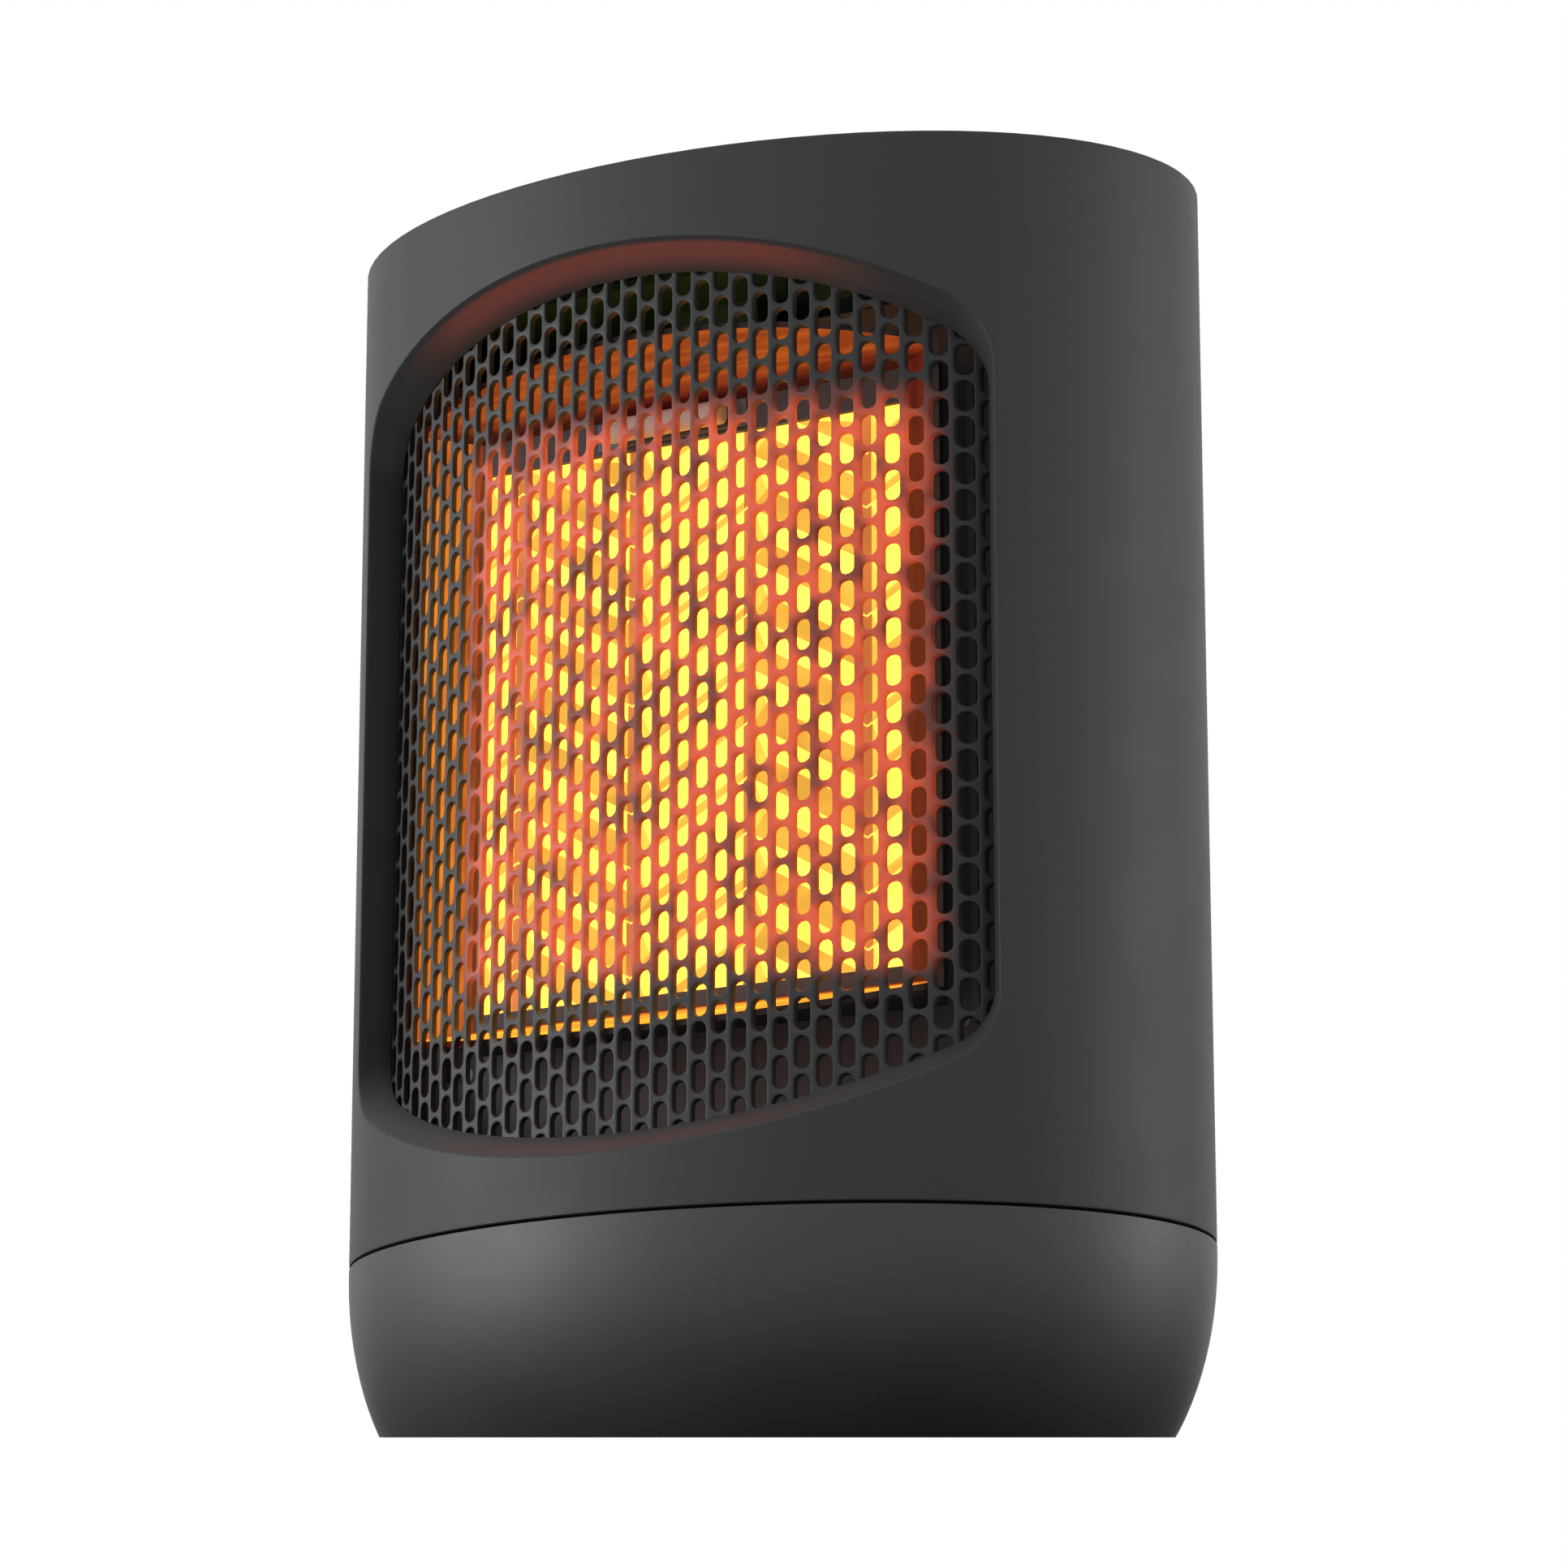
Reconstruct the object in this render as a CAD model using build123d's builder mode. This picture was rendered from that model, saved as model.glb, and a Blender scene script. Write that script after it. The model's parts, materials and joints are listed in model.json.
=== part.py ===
from build123d import *
import os
from math import acos, cos, pi, radians, sin, sqrt, tan

# Desktop fan heater: an oval head that swings on an oval base.
# Millimetres. The front faces -Y, and Z = 0 is the surface that the feet stand on.

# Outer body
BODY_WIDTH = 178.0
BODY_DEPTH = 136.0
SEAM_HEIGHT = 50.0
HEAD_HEIGHT = 210.0        # from the seam to the rim, on the axis
HEAD_FLARE = 0.7           # how far the rim stands out past the seam, each side
RIM_SLOPE = 4.8            # degrees, down towards the front
SHELL_WALL = 2.6
SEAM_GAP = 0.6
CLEARANCE = 0.3            # between pieces of different bodies
FIT = 0.2                  # between pieces of one body

# Base
FOOT_STAND = 2.0           # how far the feet hold the base off the table
BASE_STRAIGHT = 1.0        # upright wall under the seam, before it tucks in
BASE_TUCK = 29.0           # half axis of the tuck's arc, inwards
BASE_ARC_REST = 2.0        # part of the arc's height that the flat underside cuts off
BASE_FLOOR = 3.8
FOOT_RADIUS = 4.0
FOOT_RECESS = 1.2
FOOT_CHAMFER = 0.5
FOOT_INSET = 5.6           # from the edge of the underside to a foot's centre
HATCH_INSET = 11.0         # from the edge of the underside to the hatch opening
HATCH_STEP = 3.5
HATCH_POST = 6.0           # height of a screw post above the base's floor
HATCH_THICKNESS = 2.4
DECK_DROP = 2.2            # from the seam down to the deck
DECK_THICKNESS = 2.5
LEDGE = 2.5                # ledge inside a wall that a plate rests on
HEAD_PLATE = 3.4           # thickness of the head's floor

# Swing bearing
SPINDLE_RADIUS = 12.0
SPINDLE_BORE = 9.0
SPINDLE_FLANGE = 22.0
SPINDLE_FLANGE_THICKNESS = 2.0
SPINDLE_LENGTH = 24.0      # below the head's floor
BUSH_WALL = 2.5
BUSH_HEIGHT = 7.0
BUSH_FLANGE = 1.0
RUNNING_FIT = 0.06
GLIDE_RING_RADIUS = 40.0
GLIDE_RING_WIDTH = 5.0
CLIP_THICKNESS = 1.4
CLIP_GROOVE = 1.2
CLIP_REACH = 3.0

# Swing drive
GEAR_MODULE = 1.2
GEAR_TEETH = 60
PINION_TEETH = 15
PRESSURE_ANGLE = 20.0
BACKLASH = 0.25
GEAR_DEDENDUM = 1.25       # in modules
GEAR_THICKNESS = 4.5
GEAR_HUB_RADIUS = 17.0
GEAR_HOLES = 6
GEAR_HOLE_RADIUS = 5.5
GEAR_BELOW_DECK = 9.5      # from the deck's underside to the gear's top face
PINION_THICKNESS = 5.5
PINION_SHAFT_RADIUS = 2.5
SWING_MOTOR_RADIUS = 14.0
SWING_MOTOR_HEIGHT = 17.0
MOTOR_EAR_SPAN = 35.0
MOTOR_EAR_WIDTH = 7.0
MOTOR_EAR_THICKNESS = 1.0
PINION_DROP = 1.5          # from the pinion down to the swing motor

# Tilt switch under the base
PLUNGER_RADIUS = 3.0
PLUNGER_PLACE = (27.0, -8.0)
PLUNGER_TRAVEL = 4.0
PLUNGER_FLANGE = 4.6
PLUNGER_FLANGE_THICKNESS = 1.5
PLUNGER_SLEEVE_WALL = 1.6
PLUNGER_SLEEVE_HEIGHT = 4.0
PLUNGER_TIP_ROUND = 1.0
PLUNGER_PIN = 1.0          # from its flange up to its end
PLUNGER_STAND = 0.1        # the tip's clearance over the table when the heater stands
TILT_SWITCH_SIZE = (20.0, 6.4, 10.0)
TILT_SWITCH_BUTTON = 1.2   # radius and height
TILT_SCREW_SPACING = 9.5
TILT_SCREW_DROP = 3.0
TILT_CUTOUT_EDGE = 0.5     # round the plunger's flange, in the switch's wall
TILT_WALL = 2.0            # upright wall that the tilt switch is screwed to

# Supply inlet at the back of the base
INLET_HEIGHT = 35.0
INLET_BORE = 3.6
INLET_NECK = 5.5
INLET_FLANGE = 7.4
INLET_FLANGE_THICKNESS = 2.4
INLET_PAD_DEPTH = 2.6
INLET_PAD_WALL = 2.4
INLET_NUT_THICKNESS = 3.0
INLET_NUT_RADIUS = 8.4
INLET_THREAD_END = 1.0     # past the nut
TERMINAL_SIZE = (24.0, 9.0, 10.0)
TERMINAL_HOLE = (2.2, 4.0)  # radius and depth
TERMINAL_PITCH = 7.5
TERMINAL_SHIFT = 1.0

# Front window and grille
WINDOW_HALF_WIDTH = 70.9   # where its sides meet the skin
WINDOW_TOP = 187.8         # above the seam, at the middle
WINDOW_BOTTOM = 11.6       # above the seam, at the middle
REVEAL_DRAFT = 35.0
WINDOW_CORNER = 9.0        # corner radius where the window's corner meets the skin
CORNER_EASE = 0.3          # how fast that radius shrinks with depth
REVEAL_LIP = 1.8
GRILLE_SETBACK = 6.8       # from the skin to the grille's face
GRILLE_THICKNESS = 1.6
GRILLE_MARGIN = 3.0        # how far the grille runs on behind the window's edge
GRILLE_BOSS_WALL = 1.4
GRILLE_TAB = 8.0           # fixing tab above and below the grille
COLUMN_PITCH = 3.79
COLUMN_PHASE = -0.95
SLOT_WIDTH = 2.9
SLOT_BRIDGE = 0.93         # web between two slots of a column
ROW_PITCH = 21.69
ROW_PHASE = 29.15          # one slot's centre, above the seam
GRILLE_COLUMNS = 18        # either side of the middle column
GRILLE_ROWS = 9

# Heating unit
GLOW_WIDTH = 95.6
GLOW_HEIGHT = 110.5
GLOW_MIDDLE = 152.95       # height of its centre
ELEMENT_FRONT = -35.0
ELEMENT_DEPTH = 16.0
FRAME_TOP_BAR = 9.7
FRAME_BOTTOM_BAR = 6.0
FRAME_SIDE_BAR = 4.1
FRAME_FACE = 1.2           # thickness of the frame's front bars
FRAME_LAP = 1.6            # how far the front bars lap over the fins
FRAME_FLANGE = 7.0
FRAME_FLANGE_THICKNESS = 1.2
PTC_BARS = 4
PTC_BAR_WIDTH = 9.0
PTC_BAR_THICKNESS = 2.4
PTC_BAR_PITCH = 26.2
FIN_THICKNESS = 0.8
FIN_PITCH = 10.85
FIN_SLOPE = 30.0
FIN_DEPTH = 11.0
SPINE_WIDTH = 1.6
TAB_SIZE = (6.3, 0.8, 6.5)
TAB_SPACING = 40.0
FUSE_RADIUS = 2.4
FUSE_LENGTH = 26.0
FUSE_PLACE = -3.0          # its middle, across the heater
FUSE_BRACKET = (34.0, 0.9, 5.6)
FUSE_CHAMFER = 0.4

# Reflector between the heating unit and the grille
REFLECTOR_WALL = 1.2
REFLECTOR_TOP = 171.3      # its front edges, above the seam
REFLECTOR_BOTTOM = 36.6
REFLECTOR_HALF_WIDTH = 58.1
REFLECTOR_BACK_TOP = 164.9
REFLECTOR_BACK_BOTTOM = 44.7
REFLECTOR_BACK_HALF_WIDTH = 47.9

# Baffle that closes the space round the heating unit
BAFFLE_Y = -24.0           # its back face
BAFFLE_THICKNESS = 2.0
BAFFLE_TOP = 182.0         # above the seam
BAFFLE_EDGE = 1.0
BAFFLE_CORNER = 4.0
BAFFLE_FOOT = (16.0, 10.0, 2.5)
BAFFLE_FOOT_SPACING = 90.0
BAFFLE_RIB = (1.6, 125.0, 3.0)
BAFFLE_RIB_PLACE = 64.25
BAFFLE_RIB_PITCH = 9.5

# Fan
FAN_RADIUS = 50.0
FAN_HUB_RADIUS = 18.0
FAN_DEPTH = 18.0
FAN_BLADES = 7
FAN_BLADE_THICKNESS = 1.6
FAN_TIP_GAP = 1.5
FAN_Y = -6.0               # front of the impeller's hub
FAN_BLADE_CHORD = 20.0     # at the tip
FAN_ROOT_CHORD = 17.0
FAN_ROOT_PITCH = 48.0
FAN_TIP_PITCH = 28.0
SHROUD_WALL = 2.2
SHROUD_PLATE = 2.4
SHROUD_FRONT = -12.0
SHROUD_EAR = 5.0
SPIDER_ARMS = 4
SPIDER_ARM_WIDTH = 6.0
FAN_MOTOR_RADIUS = 17.0
FAN_MOTOR_DEPTH = 28.0
FAN_SHAFT_RADIUS = 1.6
MOTOR_SCREW_CIRCLE = 10.0
MOTOR_SCREW_DEPTH = 6.0
MOTOR_ROUND = 2.0
FAN_HUB_ROUND = 3.0
FAN_HUB_WALL = 2.5
FAN_SHAFT_END = 4.0        # past the hub
FAN_NUT = (3.6, 2.4)       # radius and thickness
DUCT_MARGIN = 0.5
DUCT_CORNER = 4.0
SHROUD_EAR_LAP = 1.5

# Rear intake
INTAKE_WIDTH = 104.0
INTAKE_LOW = 26.0          # above the seam
INTAKE_HIGH = 176.0
INTAKE_CORNER = 10.0
INTAKE_LAP = 4.0
INTAKE_COLUMNS = 8         # either side of the middle column
INTAKE_ROWS = 5
INTAKE_PITCH = 6.4
INTAKE_ROW_PITCH = 29.0
INTAKE_SLOT = (3.4, 24.0)
INTAKE_THICKNESS = 1.8
FILTER_THICKNESS = 1.6
FILTER_CELLS = (4, 6)
FILTER_RIB = 3.0
FILTER_CORNER = 1.5

# Control panel in the slanted top
PANEL_RECESS = 2.0
PANEL_THICKNESS = 2.6
BUTTON_RADIUS = 6.5
BUTTON_HEIGHT = 0.9        # above the panel
BUTTON_TRAVEL = 0.8
BUTTON_PITCH = 19.0
BUTTON_ROW = -34.0         # in front of the axis, along the panel
BUTTON_FLANGE = 1.2        # thickness and reach of the flange under the panel
BUTTON_STEM = 2.0
BUTTON_ROUND = 0.4
BUTTON_NAMES = ("power", "mode", "swing", "warmer", "cooler")
DISPLAY_SIZE = (42.0, 16.0)
DISPLAY_PLACE = -8.0
DISPLAY_THICKNESS = 1.6
DISPLAY_CORNER = 3.0
DISPLAY_SEAT = 2.0         # ledge under the lens, all round
DISPLAY_SEAT_CORNER = 1.5
BOARD_SIZE = (104.0, 62.0)
BOARD_DROP = 12.0
BOARD_THICKNESS = 1.6
BOARD_PLACE = -16.0
BOARD_POST_INSET = 5.0
KEY_SIZE = 6.0
KEY_HEIGHT = 3.5
KEY_PIN = 1.5
BOARD_CHIPS = ((0.0, 18.0, 18.0), (30.0, 12.0, 22.0))  # place across, width, length
BOARD_CHIP_HEIGHT = 4.0
BOARD_CORNER = 2.0
SCREW_RADIUS = 1.5
SCREW_HEAD = 3.0
SCREW_HEAD_HEIGHT = 1.8
SCREW_RECESS = 1.2
SCREW_TIP = 1.0            # how far a screw comes out past what it holds
SCREW_FLOOR = 0.4          # left under a blind screw hole
POST_RADIUS = 3.6
POST_LENGTH = 8.0
POST_FLOOR_LENGTH = 6.0    # of the posts on the head's floor
POST_PANEL_LENGTH = 10.0   # of the posts under the control panel
POST_INSET = 6.0           # from the skin to a post's axis

# Sizes that follow from those above
BASE_ARC = SEAM_HEIGHT - FOOT_STAND - BASE_STRAIGHT + BASE_ARC_REST
DECK_TOP = SEAM_HEIGHT - DECK_DROP
DECK_BOTTOM = DECK_TOP - DECK_THICKNESS
HEAD_BOTTOM = SEAM_HEIGHT + SEAM_GAP
RIM_HEIGHT = SEAM_HEIGHT + HEAD_HEIGHT
SLANT = radians(RIM_SLOPE)
RIM_PLANE = Plane(origin=(0, 0, RIM_HEIGHT), x_dir=(1, 0, 0), z_dir=(0, -sin(SLANT), cos(SLANT)))
PANEL_PLANE = RIM_PLANE.offset(-PANEL_RECESS)
TOP_STOCK = RIM_HEIGHT + BODY_DEPTH * tan(SLANT)
GEAR_TOP = DECK_BOTTOM - GEAR_BELOW_DECK
GEAR_BOTTOM = GEAR_TOP - GEAR_THICKNESS
PINION_X = -GEAR_MODULE * (GEAR_TEETH + PINION_TEETH) / 2
PINION_BOTTOM = GEAR_BOTTOM - (PINION_THICKNESS - GEAR_THICKNESS) / 2
SPINDLE_END = HEAD_BOTTOM - SPINDLE_LENGTH
MOTOR_TOP = PINION_BOTTOM - PINION_DROP
FAN_BACK = FAN_Y + FAN_DEPTH
SPIDER_FRONT = FAN_BACK + 2 * CLEARANCE
MOTOR_FRONT = SPIDER_FRONT + SHROUD_PLATE
PANEL_BOTTOM = PANEL_PLANE.offset(-PANEL_THICKNESS)
BOARD_PLANE = PANEL_BOTTOM.offset(-BOARD_DROP)


def base_inset(height):
    """How far the base's skin stands inside the body's oval at a height."""
    drop = max(0.0, SEAM_HEIGHT - BASE_STRAIGHT - height)
    return BASE_TUCK * (1 - sqrt(max(0.0, 1 - (drop / BASE_ARC) ** 2)))


def base_radii(height, inset=0.0):
    """Half axes of the base's oval section."""
    inwards = base_inset(height) + inset
    return BODY_WIDTH / 2 - inwards, BODY_DEPTH / 2 - inwards


def head_radii(height, inset=0.0):
    """Half axes of the head's oval section."""
    outwards = HEAD_FLARE * (height - SEAM_HEIGHT) / HEAD_HEIGHT - inset
    return BODY_WIDTH / 2 + outwards, BODY_DEPTH / 2 + outwards


def oval_y(x, inset=0.0):
    """Distance from the axis plane to the oval, at a place across it."""
    half_width = BODY_WIDTH / 2 - inset
    return (BODY_DEPTH / 2 - inset) * sqrt(max(0.0, 1 - (x / half_width) ** 2))


def oval_spots(radii, inset, angles):
    """Places on an oval that runs inside another one."""
    spots = []
    for angle in angles:
        spots.append(((radii[0] - inset) * cos(radians(angle)), (radii[1] - inset) * sin(radians(angle))))
    return spots


def base_column(low, high, inset):
    """Column that follows the base's tucked-in skin."""
    steps = 9
    with BuildPart() as column:
        for k in range(steps + 1):
            height = low + (high - low) * k / steps
            with BuildSketch(Plane.XY.offset(height)):
                Ellipse(*base_radii(height, inset))
        loft()
    return column.part


def head_column(low, high, inset):
    """Column that follows the head's slightly flared skin."""
    with BuildPart() as column:
        for height in (low, high):
            with BuildSketch(Plane.XY.offset(height)):
                Ellipse(*head_radii(height, inset))
        loft(ruled=True)
    return column.part


def head_ledge(plane, thickness):
    """Ledge ring inside the head's wall, below a plane."""
    with BuildPart() as ring:
        add(head_column(HEAD_BOTTOM, TOP_STOCK, SHELL_WALL / 2))
        add(head_column(HEAD_BOTTOM, TOP_STOCK, SHELL_WALL + LEDGE), mode=Mode.SUBTRACT)
        with BuildSketch(plane):
            Rectangle(2 * BODY_WIDTH, 2 * BODY_WIDTH)
        extrude(amount=-thickness, mode=Mode.INTERSECT)
    return ring.part


def window_section(y, grow=0.0):
    """Half width, low edge, high edge and corner radius of the drafted window at a depth."""
    slope = tan(radians(REVEAL_DRAFT))
    side = WINDOW_HALF_WIDTH + slope * (-oval_y(WINDOW_HALF_WIDTH) - y)
    rise = slope * (-BODY_DEPTH / 2 - y)
    corner = WINDOW_CORNER + CORNER_EASE * (-oval_y(WINDOW_HALF_WIDTH) - y)
    low = SEAM_HEIGHT + WINDOW_BOTTOM - rise - grow
    high = SEAM_HEIGHT + WINDOW_TOP + rise + grow
    return side + grow, low, high, corner + grow


def window_funnel(y_front, y_back, grow=0.0):
    """Drafted block whose cut makes the window."""
    with BuildPart() as funnel:
        for y in (y_front, y_back):
            side, low, high, corner = window_section(y, grow)
            with BuildSketch(Plane.XZ.offset(-y)):
                with Locations((0, (low + high) / 2)):
                    RectangleRounded(2 * side, high - low, corner)
        loft(ruled=True)
    return funnel.part


def reflector_funnel(grow):
    """Block inside the reflector, wider towards the grille."""
    y_front = -oval_y(0, GRILLE_SETBACK + GRILLE_THICKNESS + FIT / 2)
    side_y = -oval_y(REFLECTOR_HALF_WIDTH, GRILLE_SETBACK + GRILLE_THICKNESS)
    spread = (REFLECTOR_HALF_WIDTH - REFLECTOR_BACK_HALF_WIDTH) / (ELEMENT_FRONT - side_y)
    grow_x = grow * sqrt(1 + spread ** 2)
    front_side = REFLECTOR_BACK_HALF_WIDTH + spread * (ELEMENT_FRONT - y_front)
    sections = (
        (y_front, front_side, REFLECTOR_BOTTOM, REFLECTOR_TOP),
        (ELEMENT_FRONT, REFLECTOR_BACK_HALF_WIDTH, REFLECTOR_BACK_BOTTOM, REFLECTOR_BACK_TOP),
    )
    with BuildPart() as funnel:
        for y, side, low, high in sections:
            with BuildSketch(Plane.XZ.offset(-y)):
                with Locations((0, SEAM_HEIGHT + (low + high) / 2)):
                    Rectangle(2 * (side + grow_x), high - low + 2 * grow)
        loft(ruled=True)
    return funnel.part


def slotted_skin(side, inset, thickness, columns, pitch, low, high, slots):
    """Plate of upright facets along the oval, each pierced by a row of slots."""
    first, last, phase = columns
    strips = []
    for k in range(first, last + 1):
        x_low = phase + (k - 0.5) * pitch
        x_high = phase + (k + 0.5) * pitch
        y_low = side * oval_y(x_low, inset)
        y_high = side * oval_y(x_high, inset)
        run = sqrt((x_high - x_low) ** 2 + (y_high - y_low) ** 2)
        origin = ((x_low + x_high) / 2, (y_low + y_high) / 2, 0)
        facet = Plane(
            origin=origin,
            x_dir=(x_high - x_low, y_high - y_low, 0),
            z_dir=(y_high - y_low, x_low - x_high, 0),
        )
        shift = slots["shift"] if k % 2 else 0.0
        reach = slots["tab"] if abs(k) <= slots["tab_columns"] else 0.0
        with BuildPart() as strip:
            with BuildSketch(facet):
                with Locations((0, (low + high) / 2)):
                    Rectangle(run, high - low + 2 * reach)
                with Locations((0, slots["middle"] + shift)):
                    with GridLocations(1, slots["pitch"], 1, slots["rows"]):
                        SlotOverall(
                            slots["length"],
                            slots["width"] * run / pitch,
                            rotation=90,
                            mode=Mode.SUBTRACT,
                        )
                edge = reach + slots["margin"]
                with Locations((0, low - reach + edge / 2), (0, high + reach - edge / 2)):
                    Rectangle(run, edge)
            extrude(amount=thickness, dir=(0, -side, 0), clean=False)
        strips.append(strip.part)
    with BuildPart() as skin:
        add(strips, clean=False)
    return skin.part


def involute(angle):
    """Involute function of an angle in radians."""
    return tan(angle) - angle


def gear_points(teeth, turn):
    """Corner points of a spur gear's teeth, turned by an angle in degrees."""
    pitch_radius = GEAR_MODULE * teeth / 2
    root = pitch_radius - GEAR_DEDENDUM * GEAR_MODULE
    tip = pitch_radius + GEAR_MODULE
    base = pitch_radius * cos(radians(PRESSURE_ANGLE))
    half_tooth = pi / (2 * teeth) - BACKLASH / (2 * pitch_radius)
    start = max(base, root)
    points = []
    for tooth in range(teeth):
        middle = radians(turn) + 2 * pi * tooth / teeth
        flank = []
        for step in range(4):
            radius = start + (tip - start) * step / 3
            spread = half_tooth + involute(radians(PRESSURE_ANGLE)) - involute(acos(base / radius))
            flank.append((radius, spread))
        if start > root + 0.01:
            flank.insert(0, (root, flank[0][1]))
        for radius, spread in flank:
            points.append((radius * cos(middle - spread), radius * sin(middle - spread)))
        for radius, spread in reversed(flank):
            points.append((radius * cos(middle + spread), radius * sin(middle + spread)))
    return points


def screw(shank):
    """Pan-head screw on the current location, head above the plane and shank below it."""
    Cylinder(SCREW_HEAD, SCREW_HEAD_HEIGHT, align=(Align.CENTER, Align.CENTER, Align.MIN))
    Cylinder(SCREW_RADIUS - FIT / 2, shank, align=(Align.CENTER, Align.CENTER, Align.MAX))


def along_y(x, y, z, turn):
    """Location whose Z axis points along +Y for turn 1 and along -Y for turn -1."""
    return Location(Plane(origin=(x, y, z), x_dir=(1, 0, 0), z_dir=(0, turn, 0)))


# Base shell: one bowl with a stepped hatch opening, a ledge for the deck and a pad for the inlet.
underside = base_radii(FOOT_STAND)
hatch_opening = (underside[0] - HATCH_INSET, underside[1] - HATCH_INSET)
hatch_lap = (hatch_opening[0] - HATCH_STEP, hatch_opening[1] - HATCH_STEP)
hatch_top = FOOT_STAND + HATCH_THICKNESS
base_floor_top = FOOT_STAND + BASE_FLOOR
foot_spots = oval_spots(underside, FOOT_INSET, (45, 135, 225, 315))
hatch_screw_spots = oval_spots(hatch_opening, SCREW_HEAD + 6 * FIT, (30, 150, 210, 330))
deck_screw_spots = oval_spots(base_radii(DECK_BOTTOM), POST_INSET, (50, 130, 230, 310))
inlet_face = base_radii(INLET_HEIGHT)[1] - INLET_PAD_DEPTH
inlet_back = inlet_face - SHELL_WALL

with BuildPart() as base_hollow:
    add(base_column(base_floor_top, DECK_BOTTOM - LEDGE, SHELL_WALL))
    with Locations(*[(x, y, DECK_BOTTOM) for x, y in deck_screw_spots]):
        Cylinder(
            POST_RADIUS,
            SEAM_HEIGHT,
            align=(Align.CENTER, Align.CENTER, Align.MAX),
            mode=Mode.SUBTRACT,
        )
    with Locations(*[(x, y, 0) for x, y in hatch_screw_spots]):
        Cylinder(
            POST_RADIUS,
            base_floor_top + HATCH_POST,
            align=(Align.CENTER, Align.CENTER, Align.MIN),
            mode=Mode.SUBTRACT,
        )
    with Locations(along_y(0, inlet_back, INLET_HEIGHT, 1)):
        Cylinder(
            INLET_FLANGE + INLET_PAD_WALL,
            BODY_DEPTH,
            align=(Align.CENTER, Align.CENTER, Align.MIN),
            mode=Mode.SUBTRACT,
        )

with BuildPart() as base_shell:
    add(base_column(FOOT_STAND, SEAM_HEIGHT, 0))
    with BuildSketch(Plane.XY.offset(DECK_BOTTOM)):
        Ellipse(*base_radii(DECK_BOTTOM, SHELL_WALL))
    extrude(amount=SEAM_HEIGHT - DECK_BOTTOM, mode=Mode.SUBTRACT)
    with BuildSketch(Plane.XY.offset(DECK_BOTTOM - LEDGE)):
        Ellipse(*base_radii(DECK_BOTTOM - LEDGE, SHELL_WALL + LEDGE))
        with Locations(*deck_screw_spots):
            Circle(POST_RADIUS, mode=Mode.SUBTRACT)
    extrude(amount=LEDGE, mode=Mode.SUBTRACT)
    add(base_hollow.part, mode=Mode.SUBTRACT)
    with BuildSketch(Plane.XY.offset(FOOT_STAND)):
        Ellipse(*hatch_opening)
    extrude(amount=HATCH_THICKNESS, mode=Mode.SUBTRACT)
    with BuildSketch(Plane.XY.offset(hatch_top)):
        Ellipse(*hatch_lap)
        with Locations(*hatch_screw_spots):
            Circle(POST_RADIUS, mode=Mode.SUBTRACT)
    extrude(amount=BASE_FLOOR, mode=Mode.SUBTRACT)
    with Locations(*[(x, y, FOOT_STAND) for x, y in foot_spots]):
        Cylinder(FOOT_RADIUS, 2 * FOOT_RECESS, mode=Mode.SUBTRACT)
    with Locations(*[(x, y, hatch_top) for x, y in hatch_screw_spots]):
        Cylinder(SCREW_RADIUS, 2 * HATCH_POST, mode=Mode.SUBTRACT)
    with Locations(*[(x, y, DECK_BOTTOM) for x, y in deck_screw_spots]):
        Cylinder(SCREW_RADIUS, 2 * POST_LENGTH, mode=Mode.SUBTRACT)
    with Locations(along_y(0, inlet_face, INLET_HEIGHT, 1)):
        Cylinder(
            INLET_FLANGE + FIT,
            BODY_DEPTH,
            align=(Align.CENTER, Align.CENTER, Align.MIN),
            mode=Mode.SUBTRACT,
        )
        Cylinder(INLET_NECK + FIT, 4 * SHELL_WALL, mode=Mode.SUBTRACT)

with BuildPart() as rubber_feet:
    with Locations(*[(x, y, 0) for x, y in foot_spots]):
        Cylinder(
            FOOT_RADIUS - FIT / 2,
            FOOT_STAND + FOOT_RECESS,
            align=(Align.CENTER, Align.CENTER, Align.MIN),
        )
    chamfer(rubber_feet.edges().group_by(Axis.Z)[0], FOOT_CHAMFER)

# Hatch of the underside, with the tilt plunger's sleeve and the tilt switch's wall.
plunger_x, plunger_y = PLUNGER_PLACE
sleeve_top = hatch_top + PLUNGER_SLEEVE_HEIGHT
flange_bottom = sleeve_top + PLUNGER_TRAVEL + CLEARANCE
flange_top = flange_bottom + PLUNGER_FLANGE_THICKNESS
plunger_top = flange_top + PLUNGER_PIN
switch_bottom = plunger_top + CLEARANCE + TILT_SWITCH_BUTTON
switch_back = plunger_y + TILT_SWITCH_SIZE[1] / 2
switch_top = switch_bottom + TILT_SWITCH_SIZE[2]
switch_screw_height = switch_top - TILT_SCREW_DROP
switch_screw_spots = [
    (plunger_x - TILT_SCREW_SPACING / 2, switch_screw_height),
    (plunger_x + TILT_SCREW_SPACING / 2, switch_screw_height),
]

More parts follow.
